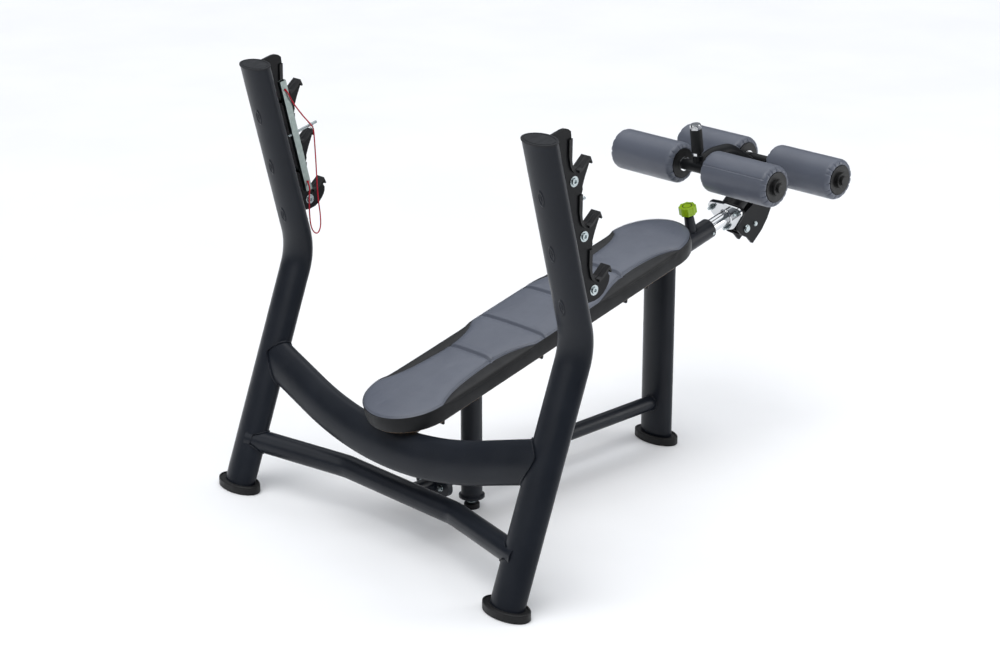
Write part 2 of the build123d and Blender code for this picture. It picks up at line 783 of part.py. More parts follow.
with BuildPart() as lock_ring:
    with Locations(Plane(origin=ring_centre, z_dir=rack_out)):
        Torus(RING_R, RING_WIRE)

with BuildPart() as lock_pin_left:
    with BuildSketch(Plane(origin=on_rack(PIN_TAIL, LOCK_PIN_T, LOCK_Y),
                           z_dir=rack_out)):
        Circle(LOCK_PIN_R)
    extrude(amount=PIN_HEAD - PIN_TAIL)
    chamfer(lock_pin_left.edges().filter_by(GeomType.CIRCLE), 0.8)
    # the ring is welded shut through the pin's cross hole
    add(lock_ring.part)
pieces["lock_pin_left"] = lock_pin_left

with BuildPart() as lock_pin_right:
    mirror(lock_pin_left.part, about=Plane.XZ)
pieces["lock_pin_right"] = lock_pin_right

# safety cord: out of the upper hole, through the pin's ring, down in a loop
# and back up to the lower hole
ring_c = on_rack(RING_AT, LOCK_PIN_T, LOCK_Y - RING_R - 2.5)
top_hole = on_rack(LOCK_D, CORD_HOLE_TOP, face_y - 0.2)
low_hole = on_rack(LOCK_D, CORD_HOLE_BOTTOM, face_y - 0.2)
cord_route = [
    top_hole,
    top_hole + Vector(5, -5, -6),
    Vector(197, 510.5, 1091),
    Vector(228, 510, 1050),
    Vector(251, 510.5, 1025),
    ring_c,
    ring_c + Vector(6.3, 0.5, -7.7),
    Vector(274, 512.5, 968),
    Vector(279, 515, 905),
    Vector(281, 516, 855),
    Vector(282.5, 515, 800),
    Vector(288, 512, 750),
    Vector(284, 508, 712),
    Vector(266, 505, 699),
    Vector(247, 505, 722),
    Vector(242, 504, 775),
    Vector(244, 504, 820),
    low_hole + Vector(0, -10, -12),
    low_hole,
]


def bend_radii(points):
    """Largest easy radius at each inner corner of a route."""
    radii = []
    for a, b, c in zip(points, points[1:], points[2:]):
        run = min((b - a).length, (c - b).length)
        turn = radians((b - a).get_angle(c - b))
        radii.append(0.45 * run / tan(turn / 2))
    return radii


def cord_tube(points, diameter):
    """Tube of straight runs and tangent arcs along a route."""
    radii = bend_radii(points)
    with BuildPart() as tube:
        with BuildLine() as line:
            place = points[0]
            for a, b, c, r in zip(points, points[1:], points[2:], radii):
                turn = radians((b - a).get_angle(c - b))
                reach = r * tan(turn / 2)
                start = b + (a - b).normalized() * reach
                end = b + (c - b).normalized() * reach
                Line(place, start)
                TangentArc(start, end, tangent=(b - a).normalized())
                place = end
            Line(place, points[-1])
        length = line.wire().length
        with BuildSketch(Plane(origin=line.wire() @ 0, z_dir=line.wire() % 0)):
            Circle(diameter / 2)
        sweep(path=line.wire(), transition=Transition.RIGHT)
    return tube.part, radii, length


cord_part, cord_radii, cord_length = cord_tube(cord_route, CORD_D)
with BuildPart() as lanyard_left:
    add(cord_part)
pieces["lanyard_left"] = lanyard_left
print("cord bend radii", [round(r, 1) for r in cord_radii])
cord_ratio = cord_part.volume / (pi * CORD_D ** 2 / 4 * cord_length)
print("cord length", round(cord_length, 1), "volume ratio", round(cord_ratio, 4))

with BuildPart() as lanyard_right:
    mirror(lanyard_left.part, about=Plane.XZ)
pieces["lanyard_right"] = lanyard_right

# ------------------------------------------------------------------ slide tube
FLANGE_BOLTS = ((-49.0, 23.0), (49.0, 23.0), (0.0, -33.5))
FLANGE_EARS = FLANGE_BOLTS[:2]
FLANGE_R = 42.0
TUBE_BACK = -250.0
CHROME_T = 8.0
BACK_T = 6.0

with BuildPart() as slide_tube:
    with BuildSketch(spine_section(TUBE_BACK)):
        Circle(SLIDE_R)
        Circle(SLIDE_R - WALL, mode=Mode.SUBTRACT)
    extrude(amount=FLANGE_AT - TUBE_BACK)
    for i in range(-1, 5):
        with BuildSketch(spine_up(-PIN_BACK - i * HOLE_PITCH, 0)):
            Circle(PIN_R + 0.3)
        extrude(amount=SLIDE_R + 4, mode=Mode.SUBTRACT)
    with BuildSketch(spine_section(FLANGE_AT)):
        with BuildSketch(mode=Mode.PRIVATE) as lobes:
            Circle(FLANGE_R)
            with Locations(*FLANGE_EARS):
                Circle(16)
        make_hull(lobes.sketch.edges())
        with Locations(*FLANGE_BOLTS):
            Circle(4.7, mode=Mode.SUBTRACT)
    extrude(amount=CHROME_T)
    with BuildSketch(spine_section(FLANGE_AT)):
        Circle(SLIDE_R + 3.5)
        Circle(SLIDE_R - 1, mode=Mode.SUBTRACT)
    extrude(amount=-5, taper=30)
pieces["slide_tube"] = slide_tube

with BuildPart() as flange_bolts:
    for x, y in FLANGE_BOLTS:
        seat = spine_section(FLANGE_AT)
        spot = Plane(origin=seat.from_local_coords(Vector(x, y, 0)),
                     x_dir=(0, 1, 0), z_dir=ALONG)
        with BuildSketch(spot.offset(-16)):
            Circle(4.5)
        extrude(amount=16 + CHROME_T + BACK_T)
        with BuildSketch(spot.offset(-8)):
            RegularPolygon(8, 6)
        extrude(amount=6.5)
        with BuildSketch(spot.offset(-1.5)):
            Circle(8.8)
        extrude(amount=1.5)
        with BuildSketch(spot.offset(CHROME_T + BACK_T)):
            RegularPolygon(8, 6)
        extrude(amount=6)
pieces["flange_bolts"] = flange_bolts

# ------------------------------------------------------------- roller carriage
HANDLE_LEAN = 9.0
GRIP_R = 17.3
lean = (-sin(radians(HANDLE_LEAN)), 0, cos(radians(HANDLE_LEAN)))


def on_handle(h):
    """Plane across the handle, h above the front axle's centre."""
    base = Vector(FRONT_AXLE[0] + 6, 0, FRONT_AXLE[1])
    return Plane(origin=base + Vector(*lean) * h, x_dir=(0, -1, 0), z_dir=lean)


arm_points = [(FRONT_AXLE[0], 0, FRONT_AXLE[1] + 2), (1345, 0, 832),
              (1412, 0, 832), (1530, 0, 760), (1512, 0, 660), (1452, 0, 575)]
with BuildPart() as arm_form:
    with BuildLine() as arm_path:
        FilletPolyline(*arm_points, radius=70)
    with BuildSketch(Plane(origin=arm_path.line @ 0, z_dir=arm_path.line % 0)):
        Circle(ARM_R)
    sweep()

with BuildPart() as front_axle_form:
    with BuildSketch(Plane(origin=(FRONT_AXLE[0], 60, FRONT_AXLE[1]),
                           z_dir=(0, -1, 0))):
        Circle(SPACER_R)
    extrude(amount=120)

with BuildPart() as carriage_arm:
    with BuildLine() as arm_line:
        FilletPolyline(*arm_points, radius=70)
    with BuildSketch(Plane(origin=arm_line.line @ 0, z_dir=arm_line.line % 0)):
        Circle(ARM_R)
        Circle(ARM_R - WALL, mode=Mode.SUBTRACT)
    sweep()
    # closed front end
    with BuildSketch(Plane(origin=arm_line.line @ 0, z_dir=arm_line.line % 0)):
        Circle(ARM_R)
    extrude(amount=5)
    # boss under the handle
    with BuildSketch(on_handle(10)):
        Circle(15.5)
    extrude(amount=24)
    add(front_axle_form.part, mode=Mode.SUBTRACT)
pieces["carriage_arm"] = carriage_arm

# welded stub that carries the arm on its backing plate
STUB_R = 32.5
stub_dir = (cos(radians(40)), 0, sin(radians(40)))
back_face = spine_section(FLANGE_AT + CHROME_T + BACK_T)
with BuildPart() as carriage_stub:
    with BuildSketch(Plane(origin=on_spine(STUB_AT, -12), z_dir=stub_dir)):
        Circle(STUB_R)
        Circle(STUB_R - WALL, mode=Mode.SUBTRACT)
    extrude(amount=135)
    split(bisect_by=back_face)
    with BuildSketch(spine_section(FLANGE_AT + CHROME_T)):
        with BuildSketch(mode=Mode.PRIVATE) as back_lobes:
            Circle(FLANGE_R + 2)
            with Locations(*FLANGE_EARS):
                Circle(18)
        make_hull(back_lobes.sketch.edges())
        with Locations(*FLANGE_BOLTS):
            Circle(4.7, mode=Mode.SUBTRACT)
    extrude(amount=BACK_T)
    add(arm_form.part, mode=Mode.SUBTRACT)
    for x, y in FLANGE_BOLTS:
        with BuildSketch(back_face):
            with Locations((x, y)):
                Circle(9.5)
        extrude(amount=14, mode=Mode.SUBTRACT)
pieces["carriage_stub"] = carriage_stub

side_outline = [(1427, 612), (1433, 588), (1450, 571), (1477, 558), (1499, 535),
                (1518, 551), (1540, 571), (1563, 602), (1580, 636), (1594, 690),
                (1597, 745), (1595, 767), (1588, 781), (1542, 783), (1536, 772),
                (1537, 750), (1534, 712), (1518, 682), (1490, 655), (1455, 636)]


def side_plate(y):
    """Side plate of the carriage, SIDE_T thick from y toward the right."""
    with BuildPart() as plate:
        with BuildSketch(Plane(origin=(0, y, 0), x_dir=(1, 0, 0),
                               z_dir=(0, -1, 0))):
            with BuildLine():
                Polyline(*side_outline, close=True)
            make_face()
            with Locations(REAR_AXLE):
                Circle(SPACER_R, mode=Mode.SUBTRACT)
            with Locations((1470, 588)):
                Circle(8, mode=Mode.SUBTRACT)
            with Locations((1508, 596)):
                Circle(5, mode=Mode.SUBTRACT)
        extrude(amount=SIDE_T)
        fillet(plate.edges().filter_by(Axis.Y).filter_by(
            lambda e: e.center().Z < 560), 5)
    return plate.part


with BuildPart() as carriage_plate_left:
    add(side_plate(SIDE_Y + SIDE_T))
pieces["carriage_plate_left"] = carriage_plate_left

with BuildPart() as carriage_plate_right:
    add(side_plate(-SIDE_Y))
pieces["carriage_plate_right"] = carriage_plate_right

with BuildPart() as carriage_bolts:
    for x, z, r in ((1470, 588, 8.0), (1508, 596, 5.0)):
        near = Plane(origin=(x, -SIDE_Y - SIDE_T, z), z_dir=(0, -1, 0))
        with BuildSketch(near):
            Circle(r)
        extrude(amount=-2 * (SIDE_Y + SIDE_T))
        with BuildSketch(near):
            Circle(r * 1.5)
        extrude(amount=2.5)
        with BuildSketch(near.offset(2.5)):
            Circle(r * 1.25)
        extrude(amount=r * 0.5, taper=20)
        with BuildSketch(near.offset(-2 * (SIDE_Y + SIDE_T))):
            RegularPolygon(r * 1.6, 6)
        extrude(amount=-r)
    add(arm_form.part, mode=Mode.SUBTRACT)
pieces["carriage_bolts"] = carriage_bolts


def axle(x, z):
    """Axle: a spacer tube in the middle and a roller journal on each side."""
    with BuildPart() as shaft:
        for length, r in ((2 * ROLLER_IN - 12, SPACER_R),
                          (2 * ROLLER_OUT - 1, AXLE_R)):
            with BuildSketch(Plane(origin=(x, length / 2, z), z_dir=(0, -1, 0))):
                Circle(r)
            extrude(amount=length)
        chamfer(shaft.edges().filter_by(GeomType.CIRCLE).sort_by(Axis.Y)[0], 1)
        chamfer(shaft.edges().filter_by(GeomType.CIRCLE).sort_by(Axis.Y)[-1], 1)
    return shaft.part


with BuildPart() as front_axle:
    add(axle(*FRONT_AXLE))
pieces["front_axle"] = front_axle

with BuildPart() as rear_axle:
    add(axle(*REAR_AXLE))
pieces["rear_axle"] = rear_axle

with BuildPart() as axle_collars:
    for x, z in (FRONT_AXLE, REAR_AXLE):
        for side in (1, -1):
            y = side * (ROLLER_IN - 1)
            with BuildSketch(Plane(origin=(x, y, z), z_dir=(0, -side, 0))):
                Circle(21)
                Circle(AXLE_R, mode=Mode.SUBTRACT)
            extrude(amount=5)
pieces["axle_collars"] = axle_collars


def roller_core(x, z, side):
    """Plastic spool: sleeve, two end discs and the hub cap on the outside."""
    bore = AXLE_R + 0.06
    steps = ((ROLLER_IN, DISC_R, bore, 5), (ROLLER_OUT - 5, DISC_R, bore, 5),
             (ROLLER_IN, CORE_R, bore, ROLLER_OUT - ROLLER_IN),
             (ROLLER_OUT, 23.5, 0, 11), (ROLLER_OUT + 11, 14, 0, 8))
    with BuildPart() as core:
        for y, r, inner, width in steps:
            with BuildSketch(Plane(origin=(x, side * y, z), z_dir=(0, side, 0))):
                Circle(r)
                if inner:
                    Circle(inner, mode=Mode.SUBTRACT)
            extrude(amount=width)
    return core.part


def roller_foam(x, z, side):
    """Foam and cover of one roller, with rounded shoulders round the discs."""
    with BuildPart() as foam:
        with BuildSketch(Plane(origin=(x, side * (ROLLER_IN + 1), z),
                               z_dir=(0, side, 0))):
            Circle(ROLLER_R)
        extrude(amount=ROLLER_OUT - ROLLER_IN - 2)
        fillet(foam.edges(), 16)
        with BuildSketch(Plane(origin=(x, side * ROLLER_IN, z),
                               z_dir=(0, side, 0))):
            Circle(DISC_R + 0.2)
        extrude(amount=5, mode=Mode.SUBTRACT)
        with BuildSketch(Plane(origin=(x, side * ROLLER_OUT, z),
                               z_dir=(0, side, 0))):
            Circle(DISC_R + 0.2)
        extrude(amount=-5, mode=Mode.SUBTRACT)
        with BuildSketch(Plane(origin=(x, side * ROLLER_IN, z),
                               z_dir=(0, side, 0))):
            Circle(CORE_R)
        extrude(amount=ROLLER_OUT - ROLLER_IN, mode=Mode.SUBTRACT)
    return foam.part


with BuildPart() as roller_front_left:
    add(roller_foam(*FRONT_AXLE, 1))
pieces["roller_front_left"] = roller_front_left

with BuildPart() as roller_front_right:
    add(roller_foam(*FRONT_AXLE, -1))
pieces["roller_front_right"] = roller_front_right

with BuildPart() as roller_rear_left:
    add(roller_foam(*REAR_AXLE, 1))
pieces["roller_rear_left"] = roller_rear_left

with BuildPart() as roller_rear_right:
    add(roller_foam(*REAR_AXLE, -1))
pieces["roller_rear_right"] = roller_rear_right

with BuildPart() as core_front_left:
    add(roller_core(*FRONT_AXLE, 1))
pieces["core_front_left"] = core_front_left

with BuildPart() as core_front_right:
    add(roller_core(*FRONT_AXLE, -1))
pieces["core_front_right"] = core_front_right

with BuildPart() as core_rear_left:
    add(roller_core(*REAR_AXLE, 1))
pieces["core_rear_left"] = core_rear_left

with BuildPart() as core_rear_right:
    add(roller_core(*REAR_AXLE, -1))
pieces["core_rear_right"] = core_rear_right

# ---------------------------------------------------------------------- handle
with BuildPart() as end_nut:
    with BuildSketch(on_handle(117)):
        RegularPolygon(17.5, 6, rotation=30)
    extrude(amount=15)
    with BuildSketch(on_handle(117)):
        Circle(21.5)
    extrude(amount=15, taper=25, mode=Mode.INTERSECT)

with BuildPart() as handle_post:
    with BuildSketch(on_handle(34)):
        Circle(7.5)
    extrude(amount=84)
    with BuildSketch(on_handle(34)):
        RegularPolygon(13, 6)
    extrude(amount=10)
    add(end_nut.part)
pieces["handle_post"] = handle_post

with BuildPart() as handle_grip:
    with BuildSketch(on_handle(46)):
        Circle(GRIP_R)
        Circle(7.5, mode=Mode.SUBTRACT)
    extrude(amount=71)
    fillet(handle_grip.edges().filter_by(GeomType.CIRCLE)
           .group_by(SortBy.RADIUS)[-1], 1.5)
pieces["handle_grip"] = handle_grip

# ---------------------------------------------------------------------- export
# every piece moves back by MIDDLE_X, so the origin lies under the bench's middle
for name, piece in pieces.items():
    placed = piece.part.moved(Location((-MIDDLE_X, 0, 0)))
    placed.label = name
    export_step(placed, f"parts/{name}.step")
print(len(pieces), "nodes")
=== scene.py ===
"""Looks of a decline weight bench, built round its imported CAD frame."""

import json
import math
import random

import bmesh
import bpy
from mathutils import Matrix, Vector
from mathutils.bvhtree import BVHTree


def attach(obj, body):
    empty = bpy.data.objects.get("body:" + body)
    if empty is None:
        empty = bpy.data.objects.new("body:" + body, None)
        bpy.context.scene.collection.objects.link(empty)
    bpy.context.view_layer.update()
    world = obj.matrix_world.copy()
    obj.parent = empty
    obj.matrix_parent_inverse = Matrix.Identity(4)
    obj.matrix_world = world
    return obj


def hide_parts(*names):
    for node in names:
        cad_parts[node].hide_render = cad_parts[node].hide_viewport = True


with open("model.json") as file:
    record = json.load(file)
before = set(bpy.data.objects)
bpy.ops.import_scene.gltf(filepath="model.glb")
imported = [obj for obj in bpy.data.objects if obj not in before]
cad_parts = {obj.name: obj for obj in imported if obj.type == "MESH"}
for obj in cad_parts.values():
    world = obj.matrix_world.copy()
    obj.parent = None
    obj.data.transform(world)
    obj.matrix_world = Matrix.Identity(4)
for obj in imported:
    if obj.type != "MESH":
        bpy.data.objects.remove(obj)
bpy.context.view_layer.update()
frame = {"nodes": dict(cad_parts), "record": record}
nodes = frame["nodes"]
random.seed(11)
bpy.context.view_layer.update()

# ------------------------------------------- shared directions and places, metres
X_AXIS = Vector((1, 0, 0))
LEFT = Vector((0, 1, 0))
Z_AXIS = Vector((0, 0, 1))
# the pad and the spine climb along ALONG; UP stands square on them
SLOPE = math.atan2(0.262, 1.0)
ALONG = Vector((math.cos(SLOPE), 0, math.sin(SLOPE)))
UP = Vector((-math.sin(SLOPE), 0, math.cos(SLOPE)))
# the uprights' upper halves run down along DOWN; OUT points from them to the pad
LEAN = math.atan2(-0.136, 0.5405)
OUT = Vector((math.cos(LEAN), 0, -math.sin(LEAN)))
DOWN = Vector((-math.sin(LEAN), 0, -math.cos(LEAN)))

MIDDLE = 0.790
PAD_TOP_Z = 0.356
SPINE_END_X, SPINE_END_Z = 1.333, 0.611
UPRIGHT_TOP_X, UPRIGHT_TOP_Z = 0.107, 1.1995
UPRIGHT_Y = 0.55
PULL_PIN_S = -0.071
SIDES = ((1, "left"), (-1, "right"))


def at(x, y, z):
    """Point given with x counted from between the two front feet."""
    return Vector((x - MIDDLE, y, z))


def on_slope(s, n, y=0.0):
    """Point s along the pad's slope and n above its top plane."""
    return at(0, y, PAD_TOP_Z) + ALONG * s + UP * n


def on_spine(s, n, y=0.0):
    """Point s beyond the spine's open end and n above its axis."""
    return at(SPINE_END_X, y, SPINE_END_Z) + ALONG * s + UP * n


def on_rack(d, t, y):
    """Point d in front of an upright's axis and t below its top."""
    return at(UPRIGHT_TOP_X, y, UPRIGHT_TOP_Z) + OUT * d + DOWN * t


def smooth(a, b, x):
    """Smooth step from 0 at a to 1 at b."""
    t = min(1.0, max(0.0, (x - a) / (b - a)))
    return t * t * (3 - 2 * t)


# -------------------------------------------------------------------- materials
def add(owner, kind, **values):
    """New node. Capitalised names set its inputs, the others its properties."""
    made = owner.node_tree.nodes.new(kind)
    for key, value in values.items():
        if key[0].isupper():
            made.inputs[key.replace("_", " ")].default_value = value
        else:
            setattr(made, key, value)
    return made


def link(owner, source, target):
    """Joins two sockets."""
    owner.node_tree.links.new(source, target)


def base(name, colour, rough, metal=0.0, **sockets):
    """Material with its plain numbers on the shader's own sockets."""
    mat = bpy.data.materials.new(name)
    mat.use_nodes = True
    shader = mat.node_tree.nodes["Principled BSDF"]
    shader.inputs["Base Color"].default_value = (*colour, 1)
    shader.inputs["Roughness"].default_value = rough
    shader.inputs["Metallic"].default_value = metal
    for key, value in sockets.items():
        shader.inputs[key.replace("_", " ")].default_value = value
    mat.diffuse_color = (*colour, 1)
    place = add(mat, "ShaderNodeTexCoord")
    return mat, shader, place.outputs["Object"]


def mottle(mat, place, target, low, high, scale, detail=4.0, span=(0.35, 0.65)):
    """Noise driven ramp between two colours, or two greys for a number."""
    noise = add(mat, "ShaderNodeTexNoise", Scale=scale, Detail=detail)
    link(mat, place, noise.inputs["Vector"])
    ramp = add(mat, "ShaderNodeValToRGB")
    for element, spot, colour in zip(ramp.color_ramp.elements, span, (low, high)):
        element.position = spot
        element.color = (*colour, 1)
    link(mat, noise.outputs["Fac"], ramp.inputs["Fac"])
    link(mat, ramp.outputs["Color"], target)
    return noise


def grey(value):
    """The same number three times."""
    return (value, value, value)


def soft_edges(mat, radius):
    """Normal that rounds sharp edges a little."""
    edge = add(mat, "ShaderNodeBevel", Radius=radius, samples=4)
    return edge.outputs["Normal"]


def bump(mat, shader, heights, under=None):
    """Chains bumps of (socket, strength, distance) into the shader."""
    for height, strength, distance in heights:
        made = add(mat, "ShaderNodeBump", Strength=strength, Distance=distance)
        link(mat, height, made.inputs["Height"])
        if under is not None:
            link(mat, under, made.inputs["Normal"])
        under = made.outputs["Normal"]
    if under is not None:
        link(mat, under, shader.inputs["Normal"])


def powder_coat(name, dark, light, rough, level):
    """Satin powder coat: orange peel, faint mottling and soft edges."""
    mat, shader, place = base(name, light, rough, Specular_IOR_Level=level)
    mottle(mat, place, shader.inputs["Base Color"], dark, light, 7.0, 5.0)
    mottle(mat, place, shader.inputs["Roughness"], grey(rough - 0.04),
           grey(rough + 0.05), 16.0, 6.0)
    peel = add(mat, "ShaderNodeTexNoise", Scale=520.0, Detail=2.0)
    link(mat, place, peel.inputs["Vector"])
    fine = add(mat, "ShaderNodeTexNoise", Scale=1900.0, Detail=2.0)
    link(mat, place, fine.inputs["Vector"])
    bump(mat, shader, [(peel.outputs["Fac"], 0.22, 0.0005),
                       (fine.outputs["Fac"], 0.10, 0.0002)],
         soft_edges(mat, 0.0008))
    return mat


def vinyl(name, dark, light, rough, level=0.5):
    """Synthetic leather: pebbled grain, pores and cloudy colour."""
    mat, shader, place = base(name, light, rough, Sheen_Weight=0.06,
                              Sheen_Roughness=0.4, Specular_IOR_Level=level)
    mottle(mat, place, shader.inputs["Base Color"], dark, light, 9.0, 6.0)
    mottle(mat, place, shader.inputs["Roughness"], grey(rough - 0.05),
           grey(rough + 0.07), 30.0, 5.0)
    cells = add(mat, "ShaderNodeTexVoronoi", Scale=620.0,
                feature="DISTANCE_TO_EDGE")
    link(mat, place, cells.inputs["Vector"])
    pores = add(mat, "ShaderNodeTexNoise", Scale=1500.0, Detail=3.0)
    link(mat, place, pores.inputs["Vector"])
    waves = add(mat, "ShaderNodeTexNoise", Scale=26.0, Detail=3.0)
    link(mat, place, waves.inputs["Vector"])
    bump(mat, shader, [(waves.outputs["Fac"], 0.14, 0.004),
                       (cells.outputs["Distance"], 0.24, 0.0005),
                       (pores.outputs["Fac"], 0.12, 0.0003)])
    return mat


def moulded(name, dark, light, rough, grain=700.0, strength=0.15, **sockets):
    """Moulded plastic or rubber with a fine textured skin."""
    mat, shader, place = base(name, light, rough, **sockets)
    mottle(mat, place, shader.inputs["Base Color"], dark, light, 20.0, 5.0)
    mottle(mat, place, shader.inputs["Roughness"], grey(rough - 0.06),
           grey(rough + 0.08), 45.0, 5.0)
    skin = add(mat, "ShaderNodeTexNoise", Scale=grain, Detail=3.0)
    link(mat, place, skin.inputs["Vector"])
    bump(mat, shader, [(skin.outputs["Fac"], strength, 0.0004)],
         soft_edges(mat, 0.0006))
    return mat


def plated(name, dark, light, rough, spread=0.06, scale=60.0):
    """Plated or drawn metal with cloudy tint and fine scratches."""
    mat, shader, place = base(name, light, rough, 1.0)
    mottle(mat, place, shader.inputs["Base Color"], dark, light, scale, 4.0,
           (0.3, 0.7))
    mottle(mat, place, shader.inputs["Roughness"], grey(max(0.02, rough - spread)),
           grey(rough + spread), 140.0, 5.0)
    marks = add(mat, "ShaderNodeTexNoise", Scale=900.0, Detail=2.0)
    link(mat, place, marks.inputs["Vector"])
    bump(mat, shader, [(marks.outputs["Fac"], 0.05, 0.0002)],
         soft_edges(mat, 0.0004))
    return mat


def spangled(name):
    """Galvanised sheet with its crystal spangle."""
    mat, shader, place = base(name, (0.36, 0.40, 0.39), 0.38, 1.0)
    cells = add(mat, "ShaderNodeTexVoronoi", Scale=190.0)
    link(mat, place, cells.inputs["Vector"])
    ramp = add(mat, "ShaderNodeValToRGB")
    ramp.color_ramp.elements[0].color = (0.25, 0.295, 0.28, 1)
    ramp.color_ramp.elements[1].color = (0.30, 0.345, 0.33, 1)
    link(mat, cells.outputs["Color"], ramp.inputs["Fac"])
    link(mat, ramp.outputs["Color"], shader.inputs["Base Color"])
    mottle(mat, place, shader.inputs["Roughness"], grey(0.3), grey(0.46), 120.0)
    bump(mat, shader, [(cells.outputs["Distance"], 0.08, 0.0002)],
         soft_edges(mat, 0.0005))
    return mat


def braid(name):
    """Red braided cord."""
    mat, shader, place = base(name, (0.5, 0.008, 0.026), 0.6, Sheen_Weight=0.05,
                              Specular_IOR_Level=0.25)
    mottle(mat, place, shader.inputs["Base Color"], (0.40, 0.003, 0.016),
           (0.58, 0.006, 0.032), 240.0)
    weave = add(mat, "ShaderNodeTexWave", Scale=420.0, Distortion=1.5,
                bands_direction="DIAGONAL")
    link(mat, place, weave.inputs["Vector"])
    bump(mat, shader, [(weave.outputs["Fac"], 0.4, 0.0004)])
    return mat


def plywood(name):
    """Plain ply, seen only from below."""
    mat, shader, place = base(name, (0.38, 0.25, 0.14), 0.7)
    stretch = add(mat, "ShaderNodeMapping", Scale=(3.0, 60.0, 60.0))
    link(mat, place, stretch.inputs["Vector"])
    grain = mottle(mat, stretch.outputs["Vector"], shader.inputs["Base Color"],
                   (0.27, 0.17, 0.09), (0.45, 0.31, 0.18), 3.0, 8.0)
    bump(mat, shader, [(grain.outputs["Fac"], 0.2, 0.0005)])
    return mat


PAINT = powder_coat("frame_paint", (0.0088, 0.0110, 0.0160), (0.0112, 0.0138, 0.0196),
                    0.33, 0.23)
BLACK = powder_coat("black_paint", (0.0042, 0.0048, 0.0058), (0.0062, 0.0068, 0.0080),
                    0.36, 0.16)
CAP = moulded("cap_plastic", (0.009, 0.0100, 0.0125), (0.013, 0.0142, 0.0172), 0.5,
              Specular_IOR_Level=0.3)
RUBBER = moulded("foot_rubber", (0.0055, 0.0056, 0.006), (0.0085, 0.0086, 0.0092), 0.5,
                 500.0, 0.22, Specular_IOR_Level=0.3)
BUSH = moulded("bush_plastic", (0.006, 0.0062, 0.0065), (0.009, 0.0093, 0.0098), 0.42,
               Specular_IOR_Level=0.3)
STEEL = plated("steel", (0.30, 0.305, 0.31), (0.38, 0.385, 0.39), 0.24)
ZINC = plated("zinc", (0.36, 0.41, 0.42), (0.46, 0.51, 0.52), 0.22)
CHROME = plated("chrome", (0.58, 0.59, 0.60), (0.66, 0.67, 0.68), 0.06, 0.02, 30.0)
GALVANISED = spangled("galvanised")
KNOB = moulded("knob_plastic", (0.255, 0.425, 0.004), (0.295, 0.475, 0.008), 0.33, 400.0,
               0.06, Specular_IOR_Level=0.45)
KNOB_DARK = moulded("knob_inlay", (0.010, 0.012, 0.010), (0.016, 0.018, 0.016), 0.4,
                    Specular_IOR_Level=0.3)
PLY = plywood("plywood")
GREY_VINYL = vinyl("grey_vinyl", (0.088, 0.098, 0.126), (0.096, 0.107, 0.137), 0.38)
BLACK_VINYL = vinyl("black_vinyl", (0.0095, 0.0095, 0.0100), (0.0125, 0.0125, 0.0130),
                    0.42, 0.24)
# the side wall gets a darker copy of the black insert vinyl: painted shade for the wall,
# which faces sideways away from the light
SHADED_WALL_VINYL = vinyl("wall_vinyl_painted_shade", (0.0062, 0.0066, 0.0076), (0.0088, 0.0093, 0.0105),
                   0.44, 0.20)
LINER = moulded("liner_plastic", (0.0060, 0.0062, 0.0070), (0.0090, 0.0093, 0.0103), 0.4,
                800.0, 0.12, Specular_IOR_Level=0.3)
CORD = braid("cord_red")
CORE = moulded("core_plastic", (0.0060, 0.0060, 0.0062), (0.0090, 0.0090, 0.0094), 0.42,
               Specular_IOR_Level=0.35)
GRIP = moulded("grip_rubber", (0.0060, 0.0066, 0.0072), (0.0090, 0.0098, 0.0106), 0.55,
               900.0, 0.3, Specular_IOR_Level=0.25)
THREAD = moulded("thread", (0.055, 0.060, 0.074), (0.080, 0.088, 0.108), 0.65, 1500.0, 0.4)

LOOKS = {
    "frame_paint": PAINT, "black_paint": BLACK, "cap_plastic": CAP,
    "foot_rubber": RUBBER, "bush_plastic": BUSH, "steel": STEEL, "zinc": ZINC,
    "galvanised": GALVANISED, "chrome": CHROME, "knob_plastic": KNOB,
    "plywood": PLY, "upholstery": GREY_VINYL, "liner_plastic": LINER,
    "cord_red": CORD, "roller_foam": GREY_VINYL, "core_plastic": CORE,
    "grip_rubber": GRIP,
}

for entry in frame["record"]["subparts"]:
    for slot in nodes[entry["node"]].material_slots:
        slot.link = "OBJECT"
        slot.material = LOOKS[entry["material_slot"]]


# --------------------------------------------------------------- mesh utilities
def make_object(name, points, faces, mats, body, face_mats=None, merge=0.0):
    """Smooth shaded mesh object that rides on a body."""
    mesh = bpy.data.meshes.new(name)
    mesh.from_pydata([tuple(p) for p in points], [], faces)
    for mat in mats:
        mesh.materials.append(mat)
    if face_mats:
        mesh.polygons.foreach_set("material_index", face_mats)
    if merge:
        work = bmesh.new()
        work.from_mesh(mesh)
        bmesh.ops.remove_doubles(work, verts=work.verts, dist=merge)
        bmesh.ops.dissolve_degenerate(work, edges=work.edges, dist=merge / 2)
        work.to_mesh(mesh)
        work.free()
    mesh.polygons.foreach_set("use_smooth", [True] * len(mesh.polygons))
    mesh.update()
    made = bpy.data.objects.new(name, mesh)
    bpy.context.scene.collection.objects.link(made)
    if body:
        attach(made, body)
    return made


def skin(rings, wrap=True):
    """Quads between rings of equal length; wrap closes each ring."""
    count = len(rings[0])
    points = [p for ring in rings for p in ring]
    faces = []
    for i in range(len(rings) - 1):
        for j in range(count if wrap else count - 1):
            k = (j + 1) % count
            faces.append((i * count + j, i * count + k,
                          (i + 1) * count + k, (i + 1) * count + j))
    return points, faces


def round_ring(centre, u, v, radius, count):
    """Circle of points round a centre, in the plane of u and v."""
    turns = [2 * math.pi * q / count for q in range(count)]
    return [centre + (u * math.cos(w) + v * math.sin(w)) * radius for w in turns]


